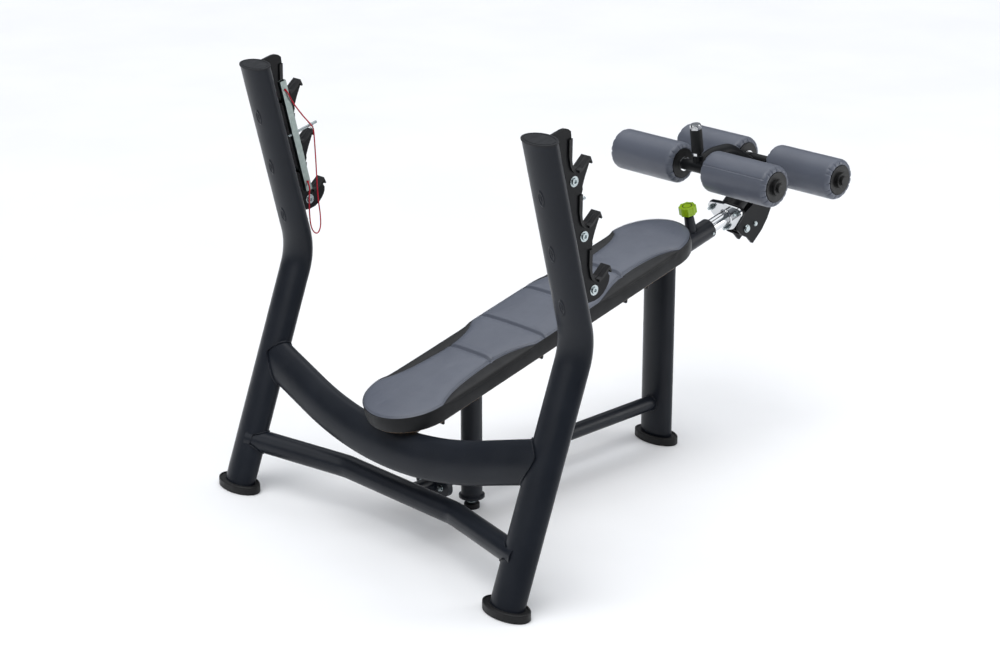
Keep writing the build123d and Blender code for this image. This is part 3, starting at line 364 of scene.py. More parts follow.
def tree_of(*names):
    """Search tree over the meshes of some CAD nodes."""
    points, faces = [], []
    for name in names:
        piece = nodes[name]
        start = len(points)
        points += [piece.matrix_world @ v.co for v in piece.data.vertices]
        faces += [[start + i for i in p.vertices] for p in piece.data.polygons]
    return BVHTree.FromPolygons(points, faces)


def merge_parts(parts):
    """Joins lists of (points, faces) into one."""
    points, faces = [], []
    for some, quads in parts:
        start = len(points)
        points += some
        faces += [tuple(start + i for i in q) for q in quads]
    return points, faces


def puff(piece, pressure, frames, cap, shrink):
    """Cloth under pressure from inside, held where the group "held" is 1.

    No point moves further than cap from where it was drawn.
    """
    start = [v.co.copy() for v in piece.data.vertices]
    cloth = piece.modifiers.new("cloth", "CLOTH")
    cloth.settings.quality = 5
    cloth.settings.mass = 0.2
    cloth.settings.tension_stiffness = 12
    cloth.settings.compression_stiffness = 12
    cloth.settings.shear_stiffness = 6
    cloth.settings.bending_stiffness = 2.5
    cloth.settings.shrink_min = shrink
    cloth.settings.use_pressure = True
    cloth.settings.uniform_pressure_force = pressure
    cloth.settings.vertex_group_mass = "held"
    cloth.settings.pin_stiffness = 1.0
    cloth.settings.effector_weights.gravity = 0
    cloth.collision_settings.use_collision = False
    cloth.point_cache.frame_start = 1
    cloth.point_cache.frame_end = frames
    scene = bpy.context.scene
    for number in range(1, frames + 1):
        scene.frame_set(number)
    view = piece.evaluated_get(bpy.context.evaluated_depsgraph_get())
    moved = [v.co.copy() for v in view.data.vertices]
    piece.modifiers.remove(cloth)
    scene.frame_set(1)
    for vertex, was, now in zip(piece.data.vertices, start, moved):
        step = now - was
        if step.length > cap:
            step *= cap / step.length
        vertex.co = was + step
    piece.data.update()


def hold(piece, indices):
    """Vertex group "held" over some vertices."""
    group = piece.vertex_groups.new(name="held")
    group.add(indices, 1.0, "REPLACE")


def refine(piece, levels=1):
    """Subdivision surface."""
    sub = piece.modifiers.new("subdivision", "SUBSURF")
    sub.levels = levels
    sub.render_levels = levels


# ------------------------------------------------------------------------- pad
PAD_R = 0.130
# centres of the two round ends, and the sewn channels between them, along the slope
HEAD_S, FOOT_S = 0.175, 1.095
GROOVES = (0.394, 0.557, 0.731, 0.909)
# (s in metres, half width in millimetres) of the grey panel beside each insert
BORDERS = (
    ((0.176, 130), (0.184, 124), (0.200, 115), (0.226, 104), (0.260, 95),
     (0.300, 89), (0.346, 85), (0.400, 83), (0.434, 87), (0.466, 96),
     (0.490, 107), (0.508, 119), (0.521, 130)),
    ((0.765, 130), (0.790, 121), (0.822, 108), (0.850, 96), (0.880, 87),
     (0.917, 82), (0.960, 80), (1.000, 83), (1.032, 88), (1.060, 97),
     (1.082, 110), (1.094, 121), (1.099, 130)),
)


def border(s):
    """Half width of the grey panel at s; the rest is the black insert."""
    for line in BORDERS:
        if line[0][0] < s < line[-1][0]:
            for (s0, y0), (s1, y1) in zip(line, line[1:]):
                if s0 <= s <= s1:
                    return (y0 + (y1 - y0) * (s - s0) / (s1 - s0)) / 1000
    return PAD_R


def eased_border(s):
    """The border with its corners rounded off."""
    total = 0.0
    for i in range(-3, 4):
        total += border(s + i * 0.0035)
    return total / 7


def half_width(s, along):
    """Half width of the grey panel at a station; along is not 0 in the round ends."""
    if along != 0.0:
        return PAD_R
    # kept short of PAD_R, so a strip of black insert about half a millimetre wide stays at
    # the seam even where there is no insert: a painted shadow line along the seam
    return min(PAD_R - 0.0001, eased_border(s))


def groove_depth(s):
    """Depth of the sewn channels across the grey panel, with raised lips."""
    deep = 0.0
    for middle in GROOVES:
        off = abs(s - middle)
        deep += 0.0078 * max(0.0, 1 - off / 0.0072) ** 1.1
        deep -= 0.0013 * math.exp(-((off - 0.0135) / 0.0052) ** 2)
    return deep


def pad_stations():
    """Outline stations: (centre s, direction in s, direction in y)."""
    steps = []
    s = HEAD_S
    while s < FOOT_S - 1e-6:
        steps.append(s)
        near = min(abs(s - g) for g in GROOVES)
        s += 0.0015 if near < 0.0090 else 0.0044
        for g in GROOVES:
            if steps[-1] < g - 1e-6 < s:
                s = g
    turn = 76
    found = [(s, 0.0, 1.0) for s in steps]
    for i in range(turn):
        a = math.pi / 2 - math.pi * i / turn
        found.append((FOOT_S, math.cos(a), math.sin(a)))
    found += [(s, 0.0, -1.0) for s in [FOOT_S] + steps[:0:-1]]
    for i in range(turn):
        a = -math.pi / 2 - math.pi * i / turn
        found.append((HEAD_S, math.cos(a), math.sin(a)))
    return found


# distances inward from the grey panel's seam at which its top gets a point
SEAM_STEPS = (0.0, 0.0006, 0.0016, 0.0032, 0.0055, 0.0085, 0.0125, 0.0175,
              0.024, 0.032, 0.041)
INNER = 6
INSERT = 8
FLAT = 4
SEAM_N = -0.0062
SHOULDER = 0.034
WALL_LOW = -0.0500


def seam_levels(room):
    """Heights of the grey panel's seam and of the wall's seam."""
    return (SEAM_N - 0.0016 * smooth(0.0, 0.02, room),
            SEAM_N - 0.0090 * smooth(0.0, SHOULDER, room))


def pad_profile(s, half_y, in_end):
    """Cross section from the middle outward as (y, n, part) points.

    part is 0 for the grey top, 1 for the insert, 2 for the wall.
    """
    room = PAD_R - half_y
    seam_n, wall_n = seam_levels(room)
    reach = half_y - SEAM_STEPS[-1]
    shape = [reach * i / INNER for i in range(INNER)]
    shape += [half_y - d for d in reversed(SEAM_STEPS)]
    deep = 0.0 if in_end else groove_depth(s)
    section = []
    for y in shape:
        crown = 0.0016 + 0.0040 * (1 - (y / PAD_R) ** 2)
        d = half_y - y
        lift = 1.0
        if d < SHOULDER:
            lift = (1 - (1 - d / SHOULDER) ** 2.3) ** (1 / 1.9)
        n = seam_n + (crown - seam_n) * lift
        n -= deep * (0.42 + 0.58 * smooth(0.0, 0.007, d))
        section.append((y, n, 0))
    # the insert ends 0.4 mm past PAD_R, so even with no insert a thin black strip remains: a
    # painted shadow line at the seam
    edge_y = PAD_R + 0.0004
    inner_y = edge_y - min(0.0085, 0.6 * (edge_y - half_y))
    flat_n = seam_n + 0.0012 * smooth(0.0, 0.02, room)
    for i in range(1, INSERT + 1):
        if i <= FLAT:
            t = i / FLAT
            y = half_y + (inner_y - half_y) * t
            n = seam_n + (flat_n - seam_n) * t
            n += 0.0016 * math.sin(math.pi * t) * smooth(0, 0.03, room)
        else:
            a = math.pi / 2 * (i - FLAT) / (INSERT - FLAT)
            y = inner_y + (edge_y - inner_y) * math.sin(a)
            n = wall_n + (flat_n - wall_n) * math.cos(a)
        section.append((y, n, 1))
    bulges = (0.0009, 0.0018, 0.0024, 0.0026, 0.0024, 0.0018, 0.0006)
    for i, bulge in enumerate(bulges):
        t = (i + 0.55) / len(bulges)
        section.append((PAD_R + bulge, wall_n + (WALL_LOW - wall_n) * t, 2))
    section.append((PAD_R - 0.0012, -0.0508, 2))
    section.append((PAD_R - 0.0042, -0.0523, 2))
    section.append((PAD_R - 0.0160, -0.0525, 2))
    return section


def build_pad():
    """Upholstery skin with grey top, black inserts and walls."""
    stations = pad_stations()
    columns = []
    for s, along, across in stations:
        column = []
        for y, n, part in pad_profile(s, half_width(s, along), along != 0.0):
            column.append((on_slope(s + along * y, n, across * y), part))
        columns.append(column)
    rings = [[c[i][0] for c in columns] for i in range(len(columns[0]))]
    parts = [columns[0][i][1] for i in range(len(columns[0]))]
    points, faces = skin(rings)
    count = len(stations)
    grey_rings = sum(1 for p in parts if p == 0)
    marks = [parts[f[0] // count + 1] for f in faces]
    # the wall's faces take the darker wall vinyl, whose colour holds painted shade
    pad = make_object("pad_skin", points, faces,
                      [GREY_VINYL, BLACK_VINYL, SHADED_WALL_VINYL], "bench", marks)
    held = []
    for i in range(len(rings)):
        for j, (s, along, across) in enumerate(stations):
            seam = i == grey_rings - 1 or i == grey_rings + INSERT - 1
            under = i > len(rings) - 4
            channel = along == 0.0 and min(abs(s - g) for g in GROOVES) < 0.001
            if seam or under or (channel and i < grey_rings):
                held.append(i * count + j)
    work = bmesh.new()
    work.from_mesh(pad.data)
    layer = work.verts.layers.int.new("held")
    work.verts.ensure_lookup_table()
    for i in held:
        work.verts[i][layer] = 1
    bmesh.ops.remove_doubles(work, verts=work.verts, dist=0.00004)
    bmesh.ops.recalc_face_normals(work, faces=work.faces)
    work.to_mesh(pad.data)
    kept = [v.index for v in work.verts if v[layer]]
    work.free()
    hold(pad, kept)
    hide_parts("pad_cushion")
    return pad, stations


pad, stations = build_pad()
puff(pad, 1.2, 12, 0.0012, 0.004)
refine(pad)


# --------------------------------------------------------------------- stitches
def stitches(name, path, normals, mat, body, length=0.0036, gap=0.0022, r=0.00042):
    """Row of short threads along a closed path, each dipping at its ends."""
    parts = []
    walked = 0.0
    next_at = 0.0
    for a, b, n in zip(path, path[1:], normals):
        run = (b - a).length
        while next_at < walked + run and run > 1e-9:
            t = (next_at - walked) / run
            place = a.lerp(b, t)
            direction = (b - a).normalized()
            side = direction.cross(n).normalized()
            rings = []
            for f, lift, size in ((0, -0.0004, 0.5), (0.2, 0.0002, 1),
                                  (0.5, 0.00042, 1.05), (0.8, 0.0002, 1),
                                  (1, -0.0004, 0.5)):
                middle = place + direction * length * f + n * lift
                rings.append(round_ring(middle, side, n, r * size, 6))
            parts.append(skin(rings))
            next_at += length + gap
        walked += run
    points, faces = merge_parts(parts)
    return make_object(name, points, faces, [mat], body)


def pad_line(offset, n_off):
    """Points and normals along the border, offset inward onto the grey top."""
    path, normals = [], []
    for s, along, across in stations:
        half_y = half_width(s, along)
        section = pad_profile(s, half_y, along != 0.0)
        y = half_y - offset
        best = None
        for (y0, n0, _), (y1, n1, part) in zip(section, section[1:]):
            if part == 0 and y0 <= y <= y1:
                best = n0 + (n1 - n0) * (y - y0) / max(1e-9, y1 - y0)
                tilt = Vector((-(n1 - n0), y1 - y0)).normalized()
                break
        path.append(on_slope(s + along * y, best + n_off, across * y))
        side = ALONG * along + LEFT * across
        normals.append((side * tilt.x + UP * tilt.y).normalized())
    path.append(path[0])
    return path, normals


line, line_normals = pad_line(0.0042, 0.0006)
stitches("pad_stitches", line, line_normals, THREAD, "bench")


def piping(name, offset_y, n_of, mat, r):
    """Thin welt along the top of the side wall."""
    path = []
    for s, along, across in stations:
        n = seam_levels(PAD_R - half_width(s, along))[1] + n_of
        y = PAD_R + offset_y
        path.append(on_slope(s + along * y, n, across * y))
    rings = []
    count = len(path)
    for i, place in enumerate(path):
        t = (path[(i + 1) % count] - path[i - 1]).normalized()
        side = t.cross(UP).normalized()
        over = side.cross(t).normalized()
        rings.append(round_ring(place, side, over, r, 8))
    rings.append(rings[0])
    points, faces = skin(rings)
    return make_object(name, points, faces, [mat], "bench", merge=0.00001)


# the welt takes the darker wall vinyl too, with its painted shade
piping("pad_welt", 0.0004, -0.0004, SHADED_WALL_VINYL, 0.0013)


# --------------------------------------------------------------------- rollers
FRONT_AXLE = at(1.2775, 0, 0.807)
REAR_AXLE = at(1.560, 0, 0.775)
# distances of a cover's two ends from the bench's middle plane, and its radius
ROLL_IN, ROLL_OUT, ROLL_R = 0.056, 0.300, 0.0600
PLEATS = 16


def roller_profile():
    """(distance from the inner end, radius) points along the cover."""
    width = ROLL_OUT - ROLL_IN
    end = [(0.0062, 0.0432), (0.0030, 0.0436), (0.0014, 0.0444), (0.0010, 0.0456)]
    for i in range(1, 9):
        a = math.pi / 2 * i / 8
        end.append((0.0010 + 0.0165 * (1 - math.cos(a)),
                    ROLL_R - 0.0150 + 0.0150 * math.sin(a)))
    end += [(0.0210, ROLL_R + 0.0002), (0.0255, ROLL_R + 0.0003),
            (0.0310, ROLL_R + 0.0003)]
    middle = [(0.038 + (width - 0.076) * i / 16, ROLL_R + 0.0003) for i in range(17)]
    return end + middle + [(width - d, r) for d, r in reversed(end)]


def build_roller(tag, axle, side, seam_angle, seed):
    """Cover of one roller, gathered into pleats round both discs."""
    rng = random.Random(seed)
    width = ROLL_OUT - ROLL_IN
    pleats = []
    for _ in (0, 1):
        pleats.append([(2 * math.pi * (i + rng.uniform(-0.22, 0.22)) / PLEATS,
                        rng.uniform(0.7, 1.2), rng.uniform(0.013, 0.021))
                       for i in range(PLEATS)])
    turns = 240
    rings = []
    for d, r in roller_profile():
        ring = []
        for j in range(turns):
            a = 2 * math.pi * j / turns
            radius, slide = r, 0.0
            for end, near in ((0, d), (1, width - d)):
                if near > 0.03:
                    continue
                face = min(1.0, max(0.0, 1 - (near - 0.0010) / 0.0165))
                rise = math.sqrt(1 - face * face)
                puffed = 0.0007 * smooth(0.0, 0.3, rise) * (1 - smooth(0.008, 0.024, near))
                deep = -puffed
                for spot, strength, long in pleats[end]:
                    gap = abs((a - spot + math.pi) % (2 * math.pi) - math.pi)
                    fade = 1 - smooth(0.003, long * 0.8, near)
                    line = math.exp(-(gap / 0.036) ** 2)
                    wide = math.exp(-(gap / 0.12) ** 2)
                    deep += strength * fade * (0.0024 * line + puffed * wide)
                deep *= smooth(-0.15, 0.25, rise)
                radius -= deep * rise
                slide += deep * face * (1 if end == 0 else -1)
            off = (a - seam_angle + math.pi) % (2 * math.pi) - math.pi
            sewn = smooth(0.004, 0.012, min(d, width - d))
            radius -= 0.0014 * math.exp(-(off / 0.022) ** 2) * sewn
            radius += 0.0007 * math.exp(-((off - 0.055) / 0.03) ** 2) * sewn
            y = side * (ROLL_IN + d + slide)
            ring.append(axle + Vector((math.cos(a) * radius, y,
                                       math.sin(a) * radius)))
        rings.append(ring)
    points, faces = skin(rings)
    roller = make_object(f"roller_cover_{tag}", points, faces, [GREY_VINYL], None)
    last = len(rings) - 1
    held = []
    for i, (d, _) in enumerate(roller_profile()):
        if i < 2 or i > last - 2:
            held += range(i * turns, (i + 1) * turns)
            continue
        for end, near in ((0, d), (1, width - d)):
            if near < 0.012:
                for spot, _, _ in pleats[end]:
                    held.append(i * turns + round(spot / (2 * math.pi) * turns) % turns)
    hold(roller, sorted(set(held)))
    work = bmesh.new()
    work.from_mesh(roller.data)
    bmesh.ops.recalc_face_normals(work, faces=work.faces)
    work.to_mesh(roller.data)
    work.free()
    puff(roller, 0.8, 10, 0.0008, 0.0)
    refine(roller)
    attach(roller, f"roller_{tag}")
    names = {"fl": "front_left", "fr": "front_right", "rl": "rear_left",
             "rr": "rear_right"}
    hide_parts(f"roller_{names[tag]}")
    # seam thread, one run along the cover
    out = Vector((math.cos(seam_angle + 0.03), 0, math.sin(seam_angle + 0.03)))
    along = [axle + out * (ROLL_R + 0.0006)
             + LEFT * side * (ROLL_IN + 0.022 + (width - 0.044) * i / 40)
             for i in range(41)]
    thread = stitches(f"roller_thread_{tag}", along, [out] * 40, THREAD, None,
                      0.003, 0.002, 0.00035)
    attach(thread, f"roller_{tag}")


build_roller("fl", FRONT_AXLE, 1, math.radians(-60), 3)
build_roller("fr", FRONT_AXLE, -1, math.radians(150), 5)
build_roller("rl", REAR_AXLE, 1, math.radians(-70), 8)
build_roller("rr", REAR_AXLE, -1, math.radians(-80), 13)


# ------------------------------------------------------------------ weld beads
def weld(name, parents, centre, u, v, direction, r=0.0030, count=150):
    """Bead where a tube, cast along direction from its section, meets parents."""
    tree = tree_of(*parents)
    direction = direction.normalized()
    hits = []
    for i in range(count + 1):
        a = 2 * math.pi * i / count
        outward = u * math.cos(a) + v * math.sin(a)
        found = tree.ray_cast(centre + outward, direction, 0.6)
        if found[0] is not None:
            hits.append((found[0], found[1], outward.normalized()))
    if len(hits) < 12:
        print("weld", name, "found only", len(hits))
        return None
    closed = (hits[0][0] - hits[-1][0]).length < 0.01
    if closed:
        hits = hits[:-1]
    rings = []
    walked = 0.0
    total = len(hits)
    for i, (place, normal, outward) in enumerate(hits):
        ahead = hits[(i + 1) % total][0] if closed or i < total - 1 else place
        behind = hits[i - 1][0] if closed or i else place
        t = (ahead - behind).normalized()
        if i:
            walked += (place - hits[i - 1][0]).length
        if normal.dot(direction) > 0:
            normal = -normal
        side = (outward - t * outward.dot(t)).normalized()
        over = (normal - t * normal.dot(t)).normalized()
        size = r * (1 + 0.10 * math.sin(walked * 2 * math.pi / 0.0042)
                    + 0.06 * math.sin(walked * 61.0))
        middle = place + (side * 0.15 + over * 0.15) * r
        rings.append(round_ring(middle, side, over, size, 10))
    if closed:
        rings.append(rings[0])
    points, faces = skin(rings)
    return make_object(name, points, faces, [PAINT], "bench", merge=0.00001)


# heights of the curved crossbar's lowest point, its tangents' corner and its ends;
# it gains ARC_LEAN in x for each metre that it climbs
ARC_LOW, ARC_CORNER, ARC_END = 0.260, 0.211, 0.372
ARC_LEAN = 0.330
arc_x = 0.0957 + ARC_LEAN * (ARC_END - ARC_LOW)
arc_low_x = 0.0957 + ARC_LEAN * (ARC_CORNER - ARC_LOW)
thin = Vector((1, 0, -ARC_LEAN)).normalized()
for side, word in SIDES:
    end = at(arc_x, side * UPRIGHT_Y, ARC_END)
    run = (end - at(arc_low_x, 0, ARC_CORNER)).normalized()
    tall = run.cross(thin).normalized()
    weld(f"weld_arc_{word}", [f"upright_{word}"], end - run * 0.16, thin * 0.025,
         tall * 0.058, run, r=0.0034)
    bar_end = at(0.046, side * UPRIGHT_Y, 0.138)
    bar_run = (bar_end - at(0.1285, side * 0.22, 0.127)).normalized()
    bar_side = bar_run.cross(Z_AXIS).normalized()
    bar_up = bar_side.cross(bar_run).normalized()
    weld(f"weld_bar_{word}", [f"upright_{word}"], bar_end - bar_run * 0.12,
         bar_side * 0.0315, bar_up * 0.0315, bar_run)

RAIL_X, RAIL_Z = 0.250, 0.110
LEG_X, LEG_RAIL_Z = 1.128, 0.122
FRONT_LEG_X = 0.387
rail_run = Vector((LEG_X - RAIL_X, 0, LEG_RAIL_Z - RAIL_Z)).normalized()
rail_up = LEFT.cross(rail_run) * -1
rail_z = RAIL_Z + (LEG_RAIL_Z - RAIL_Z) * (1.0 - RAIL_X) / (LEG_X - RAIL_X)
weld("weld_rail_leg", ["rear_leg"], at(1.0, 0, rail_z),
     LEFT * 0.022, rail_up * 0.022, rail_run)
weld("weld_rail_flange", ["lower_rail"], at(0.29, 0, 0.1105), LEFT * 0.0222,
     Z_AXIS * 0.0222, -X_AXIS, count=100)
weld("weld_bracket", ["lower_crossbar"], at(0.22, 0, RAIL_Z), LEFT * 0.022,
     Z_AXIS * 0.022, -X_AXIS)
weld("weld_bracket_flange", ["crossbar_bracket"], at(0.20, 0, RAIL_Z),
     LEFT * 0.0222, Z_AXIS * 0.0222, X_AXIS, count=100)
weld("weld_rear_leg", ["spine_tube"], at(LEG_X, 0, 0.45), X_AXIS * 0.029,
     LEFT * 0.029, Z_AXIS)
weld("weld_front_leg", ["spine_tube"], at(FRONT_LEG_X, 0, 0.25), X_AXIS * 0.0290,
     LEFT * 0.0290, Z_AXIS)
weld("weld_front_flange", ["front_leg"], at(FRONT_LEG_X, 0, 0.06), X_AXIS * 0.0297,
     LEFT * 0.0297, -Z_AXIS, r=0.0022)
weld("weld_spine_arc", ["arc_crossbar"], on_spine(-1.20, 0), LEFT * 0.030,
     UP * 0.030, -ALONG)
weld("weld_barrel", ["spine_tube"], on_spine(PULL_PIN_S, 0.05), ALONG * 0.0172,
     LEFT * 0.0172, -UP, r=0.0024)


def plug_bump(name, upright, y, t):
    """Low oval plug weld on the face of an upright away from the pad."""
    tree = tree_of(upright)
    rings = []
    for k in range(13):
        q = k / 12
        ring = []
        for j in range(48):
            a = 2 * math.pi * j / 48
            across = 0.0105 * q * math.cos(a)
            down = 0.0245 * q * math.sin(a)
            start = on_rack(-0.12, t + down, y + across)
            found = tree.ray_cast(start, OUT, 0.2)
            lift = 0.0016 * (1 - smooth(0.80, 1.0, q))
            lift += 0.0007 * math.exp(-((q - 0.72) / 0.10) ** 2)
            lift -= 0.0010 * math.exp(-((q - 0.45) / 0.16) ** 2)
            wob = 0.00022 * math.sin(9 * a + 5 * q) * (1 - q)
            ring.append(found[0] + found[1] * (lift + wob - 0.0002))
        rings.append(ring)
    points, faces = skin(rings)
    return make_object(name, points, faces, [PAINT], "bench", merge=0.00002)


for side, word in SIDES:
    for i, t in enumerate((0.145, 0.295, 0.443)):
        plug_bump(f"plug_{word}_{i + 1}", f"upright_{word}", side * UPRIGHT_Y, t)


# ---------------------------------------------------------------------- cords
CORD_D, CORD_LENGTH = 0.0038, 0.6257
# LOCK_Y is the middle plane of a lock channel, and FACE_Y its face towards the pad;
# its two cord holes stand HOLE_OUT in front of the upright's axis
LOCK_Y = 0.522
FACE_Y = LOCK_Y - 0.007
HOLE_OUT = 0.052
HOLES_DOWN = (0.092, 0.370)
ring_mid = on_rack(0.107, 0.223, LOCK_Y - 0.008 - 0.0025)
top_hole, low_hole = [on_rack(HOLE_OUT, t, FACE_Y - 0.0002) for t in HOLES_DOWN]
ROUTE = [
    top_hole,
    top_hole + Vector((0.005, -0.005, -0.006)),
    at(0.197, 0.5105, 1.091),
    at(0.228, 0.510, 1.050),
    at(0.251, 0.5105, 1.025),
    ring_mid,
    ring_mid + Vector((0.0063, 0.0005, -0.0077)),
    at(0.274, 0.5125, 0.968),
    at(0.279, 0.515, 0.905),
    at(0.281, 0.516, 0.855),
    at(0.2825, 0.515, 0.800),
    at(0.288, 0.512, 0.750),
    at(0.284, 0.508, 0.712),
    at(0.266, 0.505, 0.699),
    at(0.247, 0.505, 0.722),
    at(0.242, 0.504, 0.775),
    at(0.244, 0.504, 0.820),
    low_hole + Vector((0, -0.010, -0.012)),
    low_hole,
]


def knot(name, place, size, seed):
    """Small overhand knot, three crossing loops pulled tight."""
    rng = random.Random(seed)
    spin = rng.uniform(0, 6.28)
    count = 60
    path = []
    for i in range(count):
        a = 2 * math.pi * i / count
        x = math.sin(a) + 2 * math.sin(2 * a)
        y = math.cos(a) - 2 * math.cos(2 * a)
        z = -math.sin(3 * a)
        p = Vector((x * math.cos(spin) - y * math.sin(spin), z * 1.1,
                    x * math.sin(spin) + y * math.cos(spin)))
        path.append(place + p * size)
    rings = []
    for i, p in enumerate(path):
        t = (path[(i + 1) % count] - path[i - 1]).normalized()
        u = t.cross(LEFT + Vector((0.01, 0, 0.02))).normalized()
        v = t.cross(u)
        rings.append(round_ring(p, u, v, 0.0016, 8))
    rings.append(rings[0])
    points, faces = skin(rings)
    return make_object(name, points, faces, [CORD], "bench", merge=0.00001)


def build_cord(word, side):
    """Safety cord on one rack with its two knots."""
    route = [Vector((p.x, side * p.y, p.z)) for p in ROUTE]
    curve = bpy.data.curves.new(f"cord_{word}", "CURVE")
    curve.dimensions = "3D"
    curve.bevel_depth = CORD_D / 2
    curve.bevel_resolution = 3
    curve.resolution_u = 12
    line = curve.splines.new("NURBS")
    line.points.add(len(route) - 1)
    for point, place in zip(line.points, route):
        point.co = (*place, 1)
    line.order_u = 3
    line.use_endpoint_u = True
    curve.materials.append(CORD)
    cord = bpy.data.objects.new(f"cord_{word}", curve)
    bpy.context.scene.collection.objects.link(cord)
    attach(cord, "bench")
    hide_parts(f"lanyard_{word}")
    for i, t in enumerate(HOLES_DOWN):
        place = on_rack(HOLE_OUT, t, side * (FACE_Y - 0.0012))
        knot(f"cord_knot_{word}_{i + 1}", place, 0.0008, 4 + i)


build_cord("left", 1)
build_cord("right", -1)


# ---------------------------------------------------------------- small details
def screw_heads(name, places, normal, r, mat):
    """Domed screw heads with a recess, merged into one piece."""
    side = normal.orthogonal().normalized()
    other = normal.cross(side)
    parts = []
    for place in places:
        rings = []
        for radius, lift in ((1.0, 0.0), (1.0, 0.18), (0.93, 0.34), (0.74, 0.50),
                             (0.50, 0.58), (0.42, 0.58), (0.36, 0.30), (0.0, 0.28)):
            rings.append(round_ring(place + normal * r * lift, side, other,
                                    r * radius, 24))
        parts.append(skin(rings))
    points, faces = merge_parts(parts)
    return make_object(name, points, faces, [mat], "bench", merge=0.000005)


for word, s, length in (("head", 0.265, 0.150), ("mid", 0.620, 0.110),
                        ("foot", 0.960, 0.110)):
    spots = [on_slope(s + i * (length - 0.024) / 2, -0.057, j * 0.060)
             for i in (-1, 1) for j in (-1, 1)]
    screw_heads(f"mount_screws_{word}", spots, -UP, 0.0058, ZINC)


def staples(name):
    """Staples that hold the cover's hem to the underside of the board."""
    parts = []
    for i, (s, along, across) in enumerate(stations):
        if i % 5:
            continue
        place = on_slope(s + along * 0.120, -0.0530, across * 0.120)
        t = (ALONG * -across + LEFT * along).normalized()
        out = (ALONG * along + LEFT * across).normalized()
        rings = []
        for f, lift in ((-1.0, -0.0006), (-0.96, 0.0002), (0.96, 0.0002), (1.0, -0.0006)):
            middle = place + t * 0.005 * f - UP * lift
            rings.append([middle + out * 0.0006 * a - UP * 0.0004 * b
                          for a, b in ((-1, -1), (1, -1), (1, 1), (-1, 1))])
        parts.append(skin(rings))
    points, faces = merge_parts(parts)
    return make_object(name, points, faces, [STEEL], "bench")


staples("hem_staples")


def liner_rib(name, y):
    """Raised wear ribs along the touching face of each hook liner."""
    parts = []
    for i in range(3):
        s = 0.124 + 0.1495 * i
        edge = [(87.0, s - 0.085), (74.0, s - 0.038), (73.0, s - 0.022),
                (77.0, s - 0.012), (85.0, s - 0.007), (95.0, s - 0.009),
                (111.5, s - 0.0175), (127.0, s - 0.0255)]
        path = [on_rack(d / 1000, t, y) for d, t in edge]
        rings = []
        for k, place in enumerate(path):
            t = (path[min(k + 1, len(path) - 1)] - path[max(k - 1, 0)]).normalized()
            over = t.cross(LEFT).normalized()
            if over.dot(OUT - DOWN) < 0:
                over = -over
            lift = -0.0008 if k in (0, len(path) - 1) else 0.0004
            rings.append([place + LEFT * a + over * (b + lift)
                          for a, b in ((-0.0035, -0.001), (-0.0024, 0.0010),
                                       (0.0024, 0.0010), (0.0035, -0.001))])
        parts.append(skin(rings))
    points, faces = merge_parts(parts)
    refine(make_object(name, points, faces, [LINER], "bench"), 2)


for side, word in SIDES:
    liner_rib(f"liner_rib_{word}", side * 0.558)


def grip_ribs():
    """Fine ribs round the handle's grip."""
    lean = math.radians(9)
    up = Vector((-math.sin(lean), 0, math.cos(lean)))
    foot = at(1.2835, 0, 0.807)
    side = Vector((math.cos(lean), 0, math.sin(lean)))
    parts = []
    for i in range(21):
        middle = foot + up * (0.0505 + i * 0.0031)
        rings = []
        for q in range(49):
            w = 2 * math.pi * q / 48
            out = side * math.cos(w) + LEFT * math.sin(w)
            rings.append([middle + out * (0.0173 + a) + up * b
                          for a, b in ((-0.0002, -0.0011), (0.0005, 0.0), (-0.0002, 0.0011))])
        parts.append(skin(rings, wrap=False))
    points, faces = merge_parts(parts)
    return make_object("grip_ribs", points, faces, [GRIP], "carriage", merge=0.000005)


grip_ribs()


def knob_ring():
    """Dark ring set into the groove of the knob's top."""
    turns = 48
    rings = []
    for radius, height in ((0.0121, 0.1058), (0.0121, 0.1086), (0.0126, 0.1090),
                           (0.0144, 0.1090), (0.0149, 0.1086), (0.0149, 0.1058)):
        ring = []
        for j in range(turns):
            a = 2 * math.pi * j / turns
            side = ALONG * math.cos(a) * radius
            ring.append(on_spine(PULL_PIN_S, height, math.sin(a) * radius) + side)
        rings.append(ring)
    points, faces = skin(rings)
    make_object("knob_ring", points, faces, [KNOB_DARK], "pull_pin")


knob_ring()


# -------------------------------------------------------- floor, light, camera
def area_light(name, place, aim, width, height, power):
    """Soft box aimed at a point."""
    data = bpy.data.lights.new(name, "AREA")
    data.shape = "RECTANGLE"
    data.size = width
    data.size_y = height
    data.energy = power
    lamp = bpy.data.objects.new(name, data)
    lamp.location = place
    lamp.rotation_euler = (Vector(aim) - Vector(place)).to_track_quat("-Z", "Y").to_euler()
    bpy.context.scene.collection.objects.link(lamp)


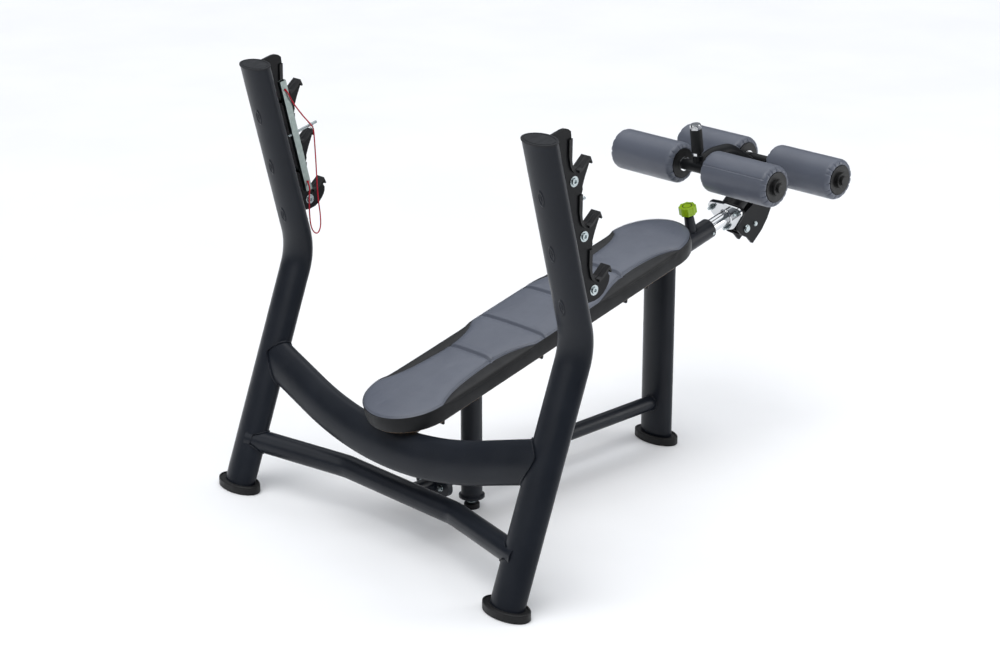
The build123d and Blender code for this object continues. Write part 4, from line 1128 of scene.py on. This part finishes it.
floor_mat, floor_shader, floor_place = base("floor", (0.90, 0.90, 0.905), 0.6)
mottle(floor_mat, floor_place, floor_shader.inputs["Base Color"], (0.89, 0.89, 0.895),
       (0.92, 0.92, 0.925), 1.5)
FLOOR_R = 14
corners = [(x * FLOOR_R, y * FLOOR_R, 0) for x, y in ((-1, -1), (1, -1), (1, 1), (-1, 1))]
floor = make_object("floor", corners, [(0, 1, 2, 3)], [floor_mat], None)

world = bpy.data.worlds.new("studio")
world.use_nodes = True
background = world.node_tree.nodes["Background"]
# the sky is dark at the horizon and bright overhead
sky_place = add(world, "ShaderNodeTexCoord")
sky_z = add(world, "ShaderNodeSeparateXYZ")
sky = add(world, "ShaderNodeValToRGB")
link(world, sky_place.outputs["Generated"], sky_z.inputs["Vector"])
link(world, sky_z.outputs["Z"], sky.inputs["Fac"])
link(world, sky.outputs["Color"], background.inputs["Color"])
sky.color_ramp.elements[0].position = 0.04
sky.color_ramp.elements[0].color = (0.03, 0.03, 0.035, 1)
sky.color_ramp.elements[1].position = 0.75
sky.color_ramp.elements[1].color = (0.86, 0.92, 1.0, 1)
dim = sky.color_ramp.elements.new(0.24)
dim.color = (0.20, 0.21, 0.23, 1)
background.inputs["Strength"].default_value = 0.55
bpy.context.scene.world = world


def soft_sun(name, source, strength, spread):
    """Wide, even light from one direction."""
    data = bpy.data.lights.new(name, "SUN")
    data.energy = strength
    data.angle = math.radians(spread)
    lamp = bpy.data.objects.new(name, data)
    lamp.rotation_euler = Vector(source).to_track_quat("Z", "Y").to_euler()
    bpy.context.scene.collection.objects.link(lamp)


soft_sun("key", (-0.35, -0.12, 1.00), 1.35, 55)
soft_sun("top", (0.20, 0.15, 1.00), 1.10, 80)
area_light("fill", at(-3.6, 1.6, 2.6), at(0.4, 0, 0.6), 2.4, 2.4, 24)
area_light("rim", at(3.4, -2.6, 1.6), at(0.6, -0.2, 0.6), 1.4, 2.4, 40)

view = bpy.context.scene.view_settings
view.view_transform = "Standard"
view.look = "None"

lens = bpy.data.cameras.new("camera")
lens.sensor_fit = "HORIZONTAL"
lens.sensor_width = 36.0
lens.lens = 83.01
lens.clip_end = 60
camera = bpy.data.objects.new("camera", lens)
camera.location = at(-3.5582, -4.3398, 2.5572)
camera.rotation_euler = (math.radians(90 - 19.263), 0, math.radians(46.966 - 90))
bpy.context.scene.collection.objects.link(camera)
bpy.context.scene.camera = camera
